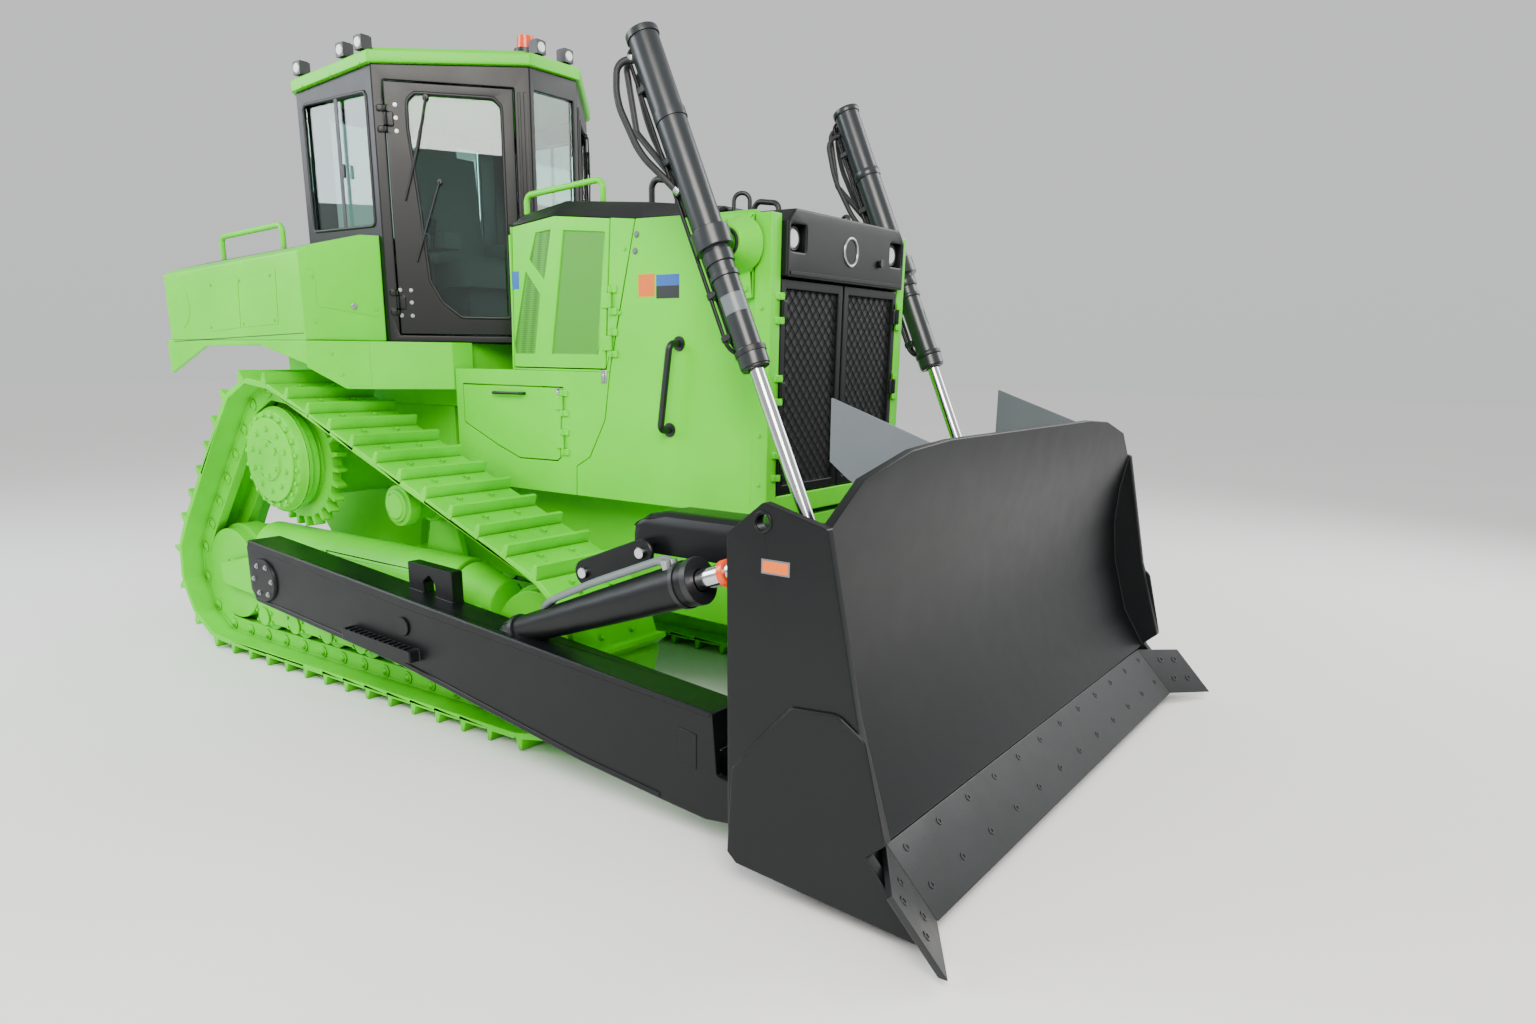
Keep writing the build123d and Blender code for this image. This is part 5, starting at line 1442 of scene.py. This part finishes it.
        def by(corner: Point, spots: Sequence[Point]) -> list[Point]:
            """Moves spots that are given from a corner of the seat to their place."""
            return [tuple(a + b for a, b in zip(corner, spot)) for spot in spots]

        head = Bench.block("head_rest", *by(rear, self.head_rest))
        Bench.dress(Bench.soften(head, 0.03, 3), Shop.CLOTH)
        rest = Bench.block("rest", *by(side, self.arm_rest))
        Bench.pair(Bench.soften(rest, 0.015), "arm_rest", Shop.CLOTH)
        stick = Bench.tube("stick", by(side, self.stick), 0.009, 0.01)
        knob = Bench.bar("knob", *by(side, self.knob), 0.018, 0.026, sides=24)
        Bench.pair(Bench.join([stick, Bench.soften(knob, 0.008, 3)], "lever"), "control_lever",
                   Shop.BLACK)

    def build(self) -> None:
        """Adds all of it."""
        self.gaskets()
        self.hardware()
        self.lamps()
        self.roof()
        self.controls()


@dataclass
class Tanks:
    """Access panels, seams, ribs and bolts of the tanks and fenders."""

    panels: tuple = (((-2248, 2289), (-1872, 2309), (-1899, 2030), (-2277, 2006)),
                     ((-1865, 2309), (-1481, 2330), (-1501, 2047), (-1892, 2030)))
    bolts: tuple[Spot, ...] = ((-2179, 2270), (-1536, 2302), (-2228, 2034), (-1858, 2051),
                               (-1529, 2068), (-1858, 2286))
    seam: tuple[Spot, ...] = ((-2700, 1949), (-1262, 1996), (-1262, 2000), (-2700, 1953))
    rib: tuple[Spot, ...] = ((-2547, 2287), (-2480, 2240), (-2457, 2157), (-2485, 2075),
                             (-2560, 2033))
    corner: Point = (-1.250, -1.206, 0)
    nose_way: Spot = (0.4042, 0.9147)       # the tank's slanted nose in plan
    skirt_way: Spot = (0.7126, 0.7016)      # and the fender's skirt under it
    lid: tuple[Spot, ...] = ((32, 2330), (72, 2330), (78, 2139), (390, 2094))
    lock: Spot = (267, 2145)
    nose_bolts: tuple[Spot, ...] = ((385, 2133), (60, 2290), (60, 2060))
    skirt_panel: tuple[Spot, ...] = ((150, 1950), (330, 1950), (330, 1722), (205, 1722))
    skirt_bolts: tuple[Spot, ...] = ((130, 1893), (175, 1780))

    def slanted(self, way: Spot) -> Face:
        """Face that runs inward from the tank's corner."""
        return Face(self.corner, (*way, 0), (way[1], -way[0], 0))

    def build(self) -> None:
        """Adds the parts."""
        wall = Face((0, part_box("tanks")[0][1], 0))
        Bench.pair(Bench.join([wall.plate("panel", panel, 3, 1.5) for panel in self.panels],
                              "panel"), "tank_panel", Shop.LIME)
        Fastener.PANEL_BOLT.place("tank_bolts", wall.places(self.bolts, 2.6), Shop.LIME)
        Bench.pair(wall.plate("seam", self.seam, 0.8), "tank_seam", Shop.FILM_BLACK)
        Bench.pair(wall.tube("rib", lifted(self.rib, 0), 4, 30), "tank_rib", Shop.LIME)
        nose = self.slanted(self.nose_way)
        Bench.pair(nose.tube("lid", lifted(self.lid, 0), 3, 12), "tank_lid_edge", Shop.LIME)
        Bench.pair(nose.boss("lock", self.lock, 9, 16, edge=3), "tank_lock", Shop.ZINC)
        Fastener.PANEL_BOLT.place("nose_bolts", nose.places(self.nose_bolts), Shop.LIME)
        skirt = self.slanted(self.skirt_way)
        Bench.pair(skirt.plate("panel", self.skirt_panel, 3, 1.5), "fender_panel", Shop.LIME)
        Fastener.PANEL_BOLT.place("fender_bolts", skirt.places(self.skirt_bolts), Shop.LIME)


@dataclass
class LiftGear:
    """Bands, steel lines, hose loops and blank labels of the lift cylinders."""

    bands: tuple = (            # start, end, outer and inner radius
        (-912, -885, 72, 65), (-560, -520, 71, 65), (60, 110, 66, 56), (150, 172, 64, 56))
    gland: tuple = ((480, 505, 69, 60), (552, 568, 60, 36))
    line_aside: float = 22.0
    line_route: tuple[Spot, ...] = ((-870, 62), (-870, 88), (440, 88), (470, 60))
    clamps: tuple[float, ...] = (-700, -380, 210, 400)
    clamp_length: float = 28.0
    clamp_outline: tuple = (-36, 36, 50, 98)    # outward, and above
    loops: tuple = (            # radius and route
        (15, ((-830, 20, 66), (-860, 60, 120), (-700, 90, 170), (-450, 80, 150),
              (-300, 60, 80), (-230, 30, 60))),
        (13, ((-800, -30, 60), (-820, -50, 130), (-600, -60, 160), (-350, -60, 130),
              (-180, -40, 60))))
    ferrules: tuple = (((-838, 22, 66), (-846, 32, 84)), ((-236, 32, 58), (-258, 42, 68)))
    label: tuple[float, float, float] = (250, 330, 58.2)    # start, end and radius
    label_way: Point = (0.6, -0.8, 0)

    def clamp(self, stem: Stem, run: float) -> Piece:
        """Clamp that holds both steel lines to the barrel.

        Args:
            stem: The barrel's middle line.
            run: The clamp's middle along it, millimetres.

        Returns:
            The clamp.
        """
        outline = [stem.at(run - self.clamp_length / 2, *spot)
                   for spot in rect(*self.clamp_outline)]
        thick = stem.way * (self.clamp_length / 1000)
        return Bench.soften(Bench.plate("clamp", outline, tuple(thick)), 0.004, 1)

    def build(self) -> None:
        """Adds the parts."""
        body = "lift_barrel_{side}"
        way = Vector(JOINTS["lift_rod_slide_right"]["axis"])
        if way.z > 0:
            way.negate()
        stem = Stem(Vector(JOINTS["lift_barrel_swing_right"]["pos_m"]), way,
                    Vector((way.z, 0, -way.x)))
        for name, rings, finish in (("barrel_bands", self.bands, Shop.BARREL),
                                    ("barrel_gland", self.gland, Shop.BLACK)):
            Bench.pair(Bench.join([stem.ring(*ring) for ring in rings], name), name, finish,
                       body)
        for number, out in enumerate((-self.line_aside, self.line_aside)):
            line = stem.tube([(run, out, above) for run, above in self.line_route], 9, 30)
            Bench.pair(line, f"steel_line_{number}", Shop.CHARCOAL, body)
        clamps = [self.clamp(stem, run) for run in self.clamps]
        Bench.pair(Bench.join(clamps, "clamps"), "line_clamps", Shop.BLACK, body)
        loops = [stem.tube(route, radius, 60) for radius, route in self.loops]
        Bench.pair(Bench.join(loops, "loops"), "hose_loops", Shop.RUBBER, body)
        ferrules = [Bench.soften(Bench.bar("ferrule", stem.at(*start), stem.at(*end), 0.019,
                                           sides=6), 0.002, 1)
                    for start, end in self.ferrules]
        Bench.pair(Bench.join(ferrules, "ferrules"), "hose_ends", Shop.ZINC, body)
        start, end, radius = self.label
        side = Vector(self.label_way)
        label = Bench.walled(
            Bench.bar("label", stem.at(start), stem.at(end), radius / 1000, sides=64),
            lambda spot, way: abs(way.dot(stem.way)) > 0.9 or way.dot(side) < 0.55,
            0.0006, offset=1)
        Bench.pair(Bench.smooth(label), "barrel_label", Shop.SILVER, body)


@dataclass
class PushArms:
    """Edge strips, caps, glands, hoses and links of the push arms and tilt cylinders."""

    foot: Point = (0.520, -1.405, 0.660)
    strips: tuple = (
        ((-1536, 868), (-1540, 832), (-169, 700), (1752, 556), (1760, 572)),
        ((-1506, 524), (-167, 390), (1054, 195), (1499, 146), (1499, 170), (1054, 220),
         (-167, 418), (-1520, 550)))
    caps: tuple = (             # spot, lift, radius at foot and top, facets
        ((-154, 600), 12, 48, None, 36), ((-1400, 660), 16, 125, 118, 48),
        ((1890, 225), 10, 52, None, 36))
    hub_bolts: tuple = ((-1400, 660), 88, 6)
    doubler: tuple[Spot, ...] = ((1600, 480), (1690, 470), (1690, 320), (1600, 330))
    side: float = 1.505         # from the middle to the arms' outer face
    treads: tuple[int, int, int] = (-580, -60, 40)
    tread: tuple[Point, Point] = ((0, -1562, 500), (14, -1508, 506))
    tread_slope: float = -0.054
    gland: tuple = ((1090, 1112, 98, 86), (1150, 1182, 97, 46), (60, 90, 76, 60))
    seal: tuple = (1300, 1330, 54, 41)
    hoses: tuple[Spot, ...] = ((34, 96), (-6, 102))     # outward and above
    port_run: float = 1060.0
    port_heights: Spot = (76, 112)
    link_side: float = 1.290
    root: tuple[Point, Point] = ((1.239, -1.238, 1.145), (1.239, -1.292, 1.145))
    link_pins: tuple[Spot, ...] = ((906, 983), (1239, 1112))
    link_radius: float = 58.0

    def fittings(self) -> None:
        """Adds strips, caps, doubler, hub bolts and step treads."""
        arm, wall = "arm_{side}", Face((0, -self.side, 0))
        Bench.pair(Bench.join([wall.plate("strip", strip, 6, 3) for strip in self.strips],
                              "strips"), "arm_strips", Shop.CHARCOAL, arm)
        caps = [wall.boss("cap", spot, lift, radius, top, edge=4, sides=sides)
                for spot, lift, radius, top, sides in self.caps]
        Bench.pair(Bench.join(caps, "caps"), "arm_caps", Shop.CHARCOAL, arm)
        Fastener.FRAME_BOLT.place("arm_hub_bolts", wall.places(arc(*self.hub_bolts), 15.6),
                                  Shop.ZINC, arm)
        Bench.pair(wall.plate("doubler", self.doubler, 4, 2), "arm_doubler", Shop.CHARCOAL, arm)
        treads = []
        (x_low, y_low, z_low), (x_high, y_high, z_high) = self.tread
        for x in range(*self.treads):
            height = self.tread_slope * (x + 40)
            tread = Bench.block("tread", mm(x + x_low, y_low, z_low + height + SUNK),
                                mm(x + x_high, y_high, z_high + height))
            treads.append(Bench.soften(tread, 0.002, 1))
        Bench.pair(Bench.join(treads, "treads"), "step_treads", Shop.CHARCOAL, arm)

    def tilt_cylinders(self) -> None:
        """Adds glands, seal rings, hoses and their ports."""
        arm = "arm_{side}"
        way = Vector(JOINTS["tilt_rod_slide_right"]["axis"])
        if way.x < 0:
            way.negate()
        stem = Stem(Vector(self.foot), way, Vector((-way.z, 0, way.x)))
        gland = Bench.join([stem.ring(*ring) for ring in self.gland], "gland")
        Bench.pair(gland, "tilt_gland", Shop.BLACK, arm)
        # the amber seal ring glows faintly: a painted glow, as the ring is no lamp
        Bench.pair(stem.ring(*self.seal), "tilt_seal_ring", Shop.AMBER, "tilt_rod_{side}")
        for number, (out, above) in enumerate(self.hoses):
            hose = stem.tube(((self.port_run, out, 80), (self.port_run, out, above + 22),
                              (620, out, above + 14), (330, out, above - 6),
                              (250, out - 40, 60)), 15, 50)
            Bench.pair(hose, f"tilt_hose_{number}", Shop.HOSE_GREY, arm)
        ports = [Bench.soften(Bench.bar("port", *(stem.at(self.port_run, out, above)
                                                  for above in self.port_heights), 0.022,
                                        sides=6), 0.002, 1) for out, _ in self.hoses]
        Bench.pair(Bench.join(ports, "ports"), "tilt_ports", Shop.ZINC, arm)

    def links(self) -> None:
        """Adds the link plate over each brace with its root and pins."""
        face, blade = Face((0, -self.link_side, 0)), "blade_body"
        rear, front = self.link_pins
        slope = math.atan2(front[1] - rear[1], front[0] - rear[0])
        half = {"count": 11, "sweep": math.pi * 1.1}
        outline = (arc(rear, self.link_radius, start=math.pi / 2 + slope, **half)
                   + arc(front, self.link_radius, start=math.pi * 1.5 + slope, **half))
        root = Bench.bar("root", *self.root, 0.024, sides=28)
        link = Bench.join([face.plate("link", outline, 20, 5), Bench.soften(root, 0.002)],
                          "link")
        Bench.pair(link, "brace_link", Shop.CHARCOAL, blade)
        pins = [face.boss("pin", spot, 38, 26, 24, edge=4, sides=36, foot=19.6)
                for spot in self.link_pins]
        Bench.pair(Bench.join(pins, "pins"), "link_pins", Shop.CHROME, blade)

    def build(self) -> None:
        """Adds the parts."""
        self.fittings()
        self.tilt_cylinders()
        self.links()


@dataclass
class BladeGear:
    """Edge bolts, blank plates, weld beads and rims of the blade."""

    top: Spot = (2560.0, 288.0)     # the cutting edge's slope, seen from the side
    foot: Spot = (2772.0, 62.0)
    edge_half: float = 1.46
    edge_bolts: int = 12
    edge_depths: Spot = (52, 205)
    sweep: Point = (0.162134, -0.2615, -0.027)      # how an end bit runs out
    bit_root: float = -1.5515
    bit_shares: Spot = (0.38, 0.72)
    bit_depths: Spot = (0.075, 0.205)
    end_side: float = 1.700
    border: tuple = (2114, 2227, 1258, 1208)
    plate: tuple = (2120, 2221, 1252, 1214)
    hole: tuple = ((2115, 1380), 34, 20)
    weld: tuple[Spot, ...] = ((2081, 565), (2249, 758), (2434, 772), (2534, 706), (2625, 375))

    def edge_plugs(self, down: Vector) -> None:
        """Adds the cutting edge's bolts, in two rows across the machine.

        Args:
            down: Way down the cutting edge.
        """
        out = Vector((-down.z, 0, down.x))
        top = Vector((self.top[0], 0, self.top[1]))
        places = []
        for number in range(self.edge_bolts):
            y = self.edge_half - 2 * self.edge_half * number / (self.edge_bolts - 1)
            for depth in self.edge_depths:
                spot = top + down * depth
                places.append(facing((spot.x / 1000, y, spot.z / 1000), out))
        Bench.dress(Bench.spread(countersunk(17), "edge_plugs", places), Shop.BLACK,
                    "blade_body")

    def bit_plugs(self, down: Vector) -> None:
        """Adds the bolts of the swept-out end bits.

        Args:
            down: Way down the cutting edge.
        """
        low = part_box("cutting_edges")[0]
        sweep = Vector(self.sweep)
        root = Vector((self.top[0] / 1000, self.bit_root, self.top[1] / 1000))
        normal = sweep.cross(down).normalized()
        if normal.x < 0:
            normal.negate()
        spots = [root + sweep * share + down * depth for share in self.bit_shares
                 for depth in self.bit_depths]
        LOG.info("bit bolts stand %.3f m in from the bits' tips", spots[-1].y - low[1])
        Bench.scatter(countersunk(20), "bit_plugs", [facing(spot, normal) for spot in spots],
                      Shop.BLACK, "blade_body")

    def build(self) -> None:
        """Adds the parts."""
        run = math.dist(self.top, self.foot)
        down = Vector((self.foot[0] - self.top[0], 0, self.foot[1] - self.top[1])) / run
        self.edge_plugs(down)
        self.bit_plugs(down)
        end, body = Face((0, -self.end_side, 0)), "blade_body"
        Bench.pair(end.plate("plate", rect(*self.border), 1.2), "blade_plate_border",
                   Shop.SILVER, body)
        Bench.pair(end.plate("face", rect(*self.plate), 2.0), "blade_plate_face",
                   Shop.FILM_ORANGE, body)
        Bench.pair(end.tube("rim", lifted(arc(*self.hole), 0), 5, 5, closed=True),
                   "lifting_hole_rim", Shop.CHARCOAL, body)
        Bench.pair(end.tube("weld", lifted(self.weld, 4), 7, 20), "patch_weld", Shop.CHARCOAL,
                   body)


# ---------------------------------------------------------------- studio
@dataclass
class Studio:
    """Pale floor, soft light and the camera."""

    eye: Point = (3.991, -4.449, 1.909)
    heading: float = 126.46     # degrees from +X towards +Y
    dip: float = -15.81
    roll: float = 0.71
    sensor: float = 36.0        # millimetres
    lens: float = 23.71171875
    shift: tuple[float, float] = (0.029, 0.0845)
    paint: Ground = Ground("pale_floor", "", "#F6F6F5", "#FBFBFA")
    sky: tuple[str, str, float] = ("#F4F6F6", "#FFFFFF", 0.8)   # low, high, strength
    lamps: tuple = (            # place, power and colour
        ((6.0, -7.5, 7.0), 1350.0, "#FFFAF2"),      # key
        ((-7.0, -6.0, 6.0), 700.0, "#F2F7FF"),      # fill
        ((5.0, 7.0, 6.0), 500.0, "#FFFFFF"))        # from behind
    lamp_size: float = 5.0

    def camera(self) -> None:
        """Adds the camera."""
        yaw, dip = math.radians(self.heading), math.radians(self.dip)
        ahead = Vector((math.cos(dip) * math.cos(yaw), math.cos(dip) * math.sin(yaw),
                        math.sin(dip)))
        right = ahead.cross(Vector((0, 0, 1))).normalized()
        up = right.cross(ahead)
        turn = math.radians(self.roll)
        right, up = (right * math.cos(turn) + up * math.sin(turn),
                     up * math.cos(turn) - right * math.sin(turn))
        bpy.ops.object.camera_add()
        camera = bpy.context.object
        camera.matrix_world = Matrix([(*axes, eye) for *axes, eye in zip(right, up, -ahead,
                                                                         self.eye)]
                                     + [(0, 0, 0, 1)])
        camera.data.sensor_width = self.sensor
        camera.data.lens = self.lens
        camera.data.shift_x, camera.data.shift_y = self.shift
        camera.data.clip_end = 200
        bpy.context.scene.camera = camera

    def floor(self) -> None:
        """Adds the floor."""
        bpy.ops.mesh.primitive_plane_add(size=120, location=(0, 0, 0))
        floor = bpy.context.object
        floor.name = "floor"
        floor.data.materials.append(self.paint.build())

    def light(self) -> None:
        """Adds the sky, which is whiter higher up, and the soft lamps."""
        world = bpy.data.worlds.new("studio")
        bpy.context.scene.world = world
        world.use_nodes = True
        tree = world.node_tree
        low, high, strength = self.sky
        place = add_node(tree, "ShaderNodeTexCoord")
        split = add_node(tree, "ShaderNodeSeparateXYZ", {0: (place, "Generated")})
        height = add_node(tree, "ShaderNodeMapRange",
                          {"Value": (split, "Z"), "From Min": -0.05, "From Max": 0.6})
        sky = add_node(tree, "ShaderNodeMix", {0: (height, 0), 6: linear(low), 7: linear(high)},
                       data_type="RGBA")
        feed(tree.nodes["Background"], {"Color": (sky, 2), "Strength": strength})
        for spot, power, colour in self.lamps:
            bpy.ops.object.light_add(type="AREA", location=spot)
            lamp = bpy.context.object
            lamp.data.energy = power
            lamp.data.size = self.lamp_size
            lamp.data.color = linear(colour)[:3]
            aim = Vector((0, 0, 1.2)) - Vector(spot)
            lamp.rotation_euler = aim.to_track_quat("-Z", "Y").to_euler()

    def build(self) -> None:
        """Adds all of it."""
        self.floor()
        self.light()
        self.camera()


# ---------------------------------------------------------------- assembly
def main() -> None:
    """Builds the machine's looks in order."""
    logging.basicConfig(level=logging.INFO, format="%(message)s")
    for part in (Studio(), Bodywork(), Undercarriage(), Enclosure(), RadiatorEnd(), Cab(),
                 Tanks(), LiftGear(), PushArms(), BladeGear()):
        LOG.info("building %s", type(part).__name__)
        part.build()


if __name__ == "__main__":
    main()
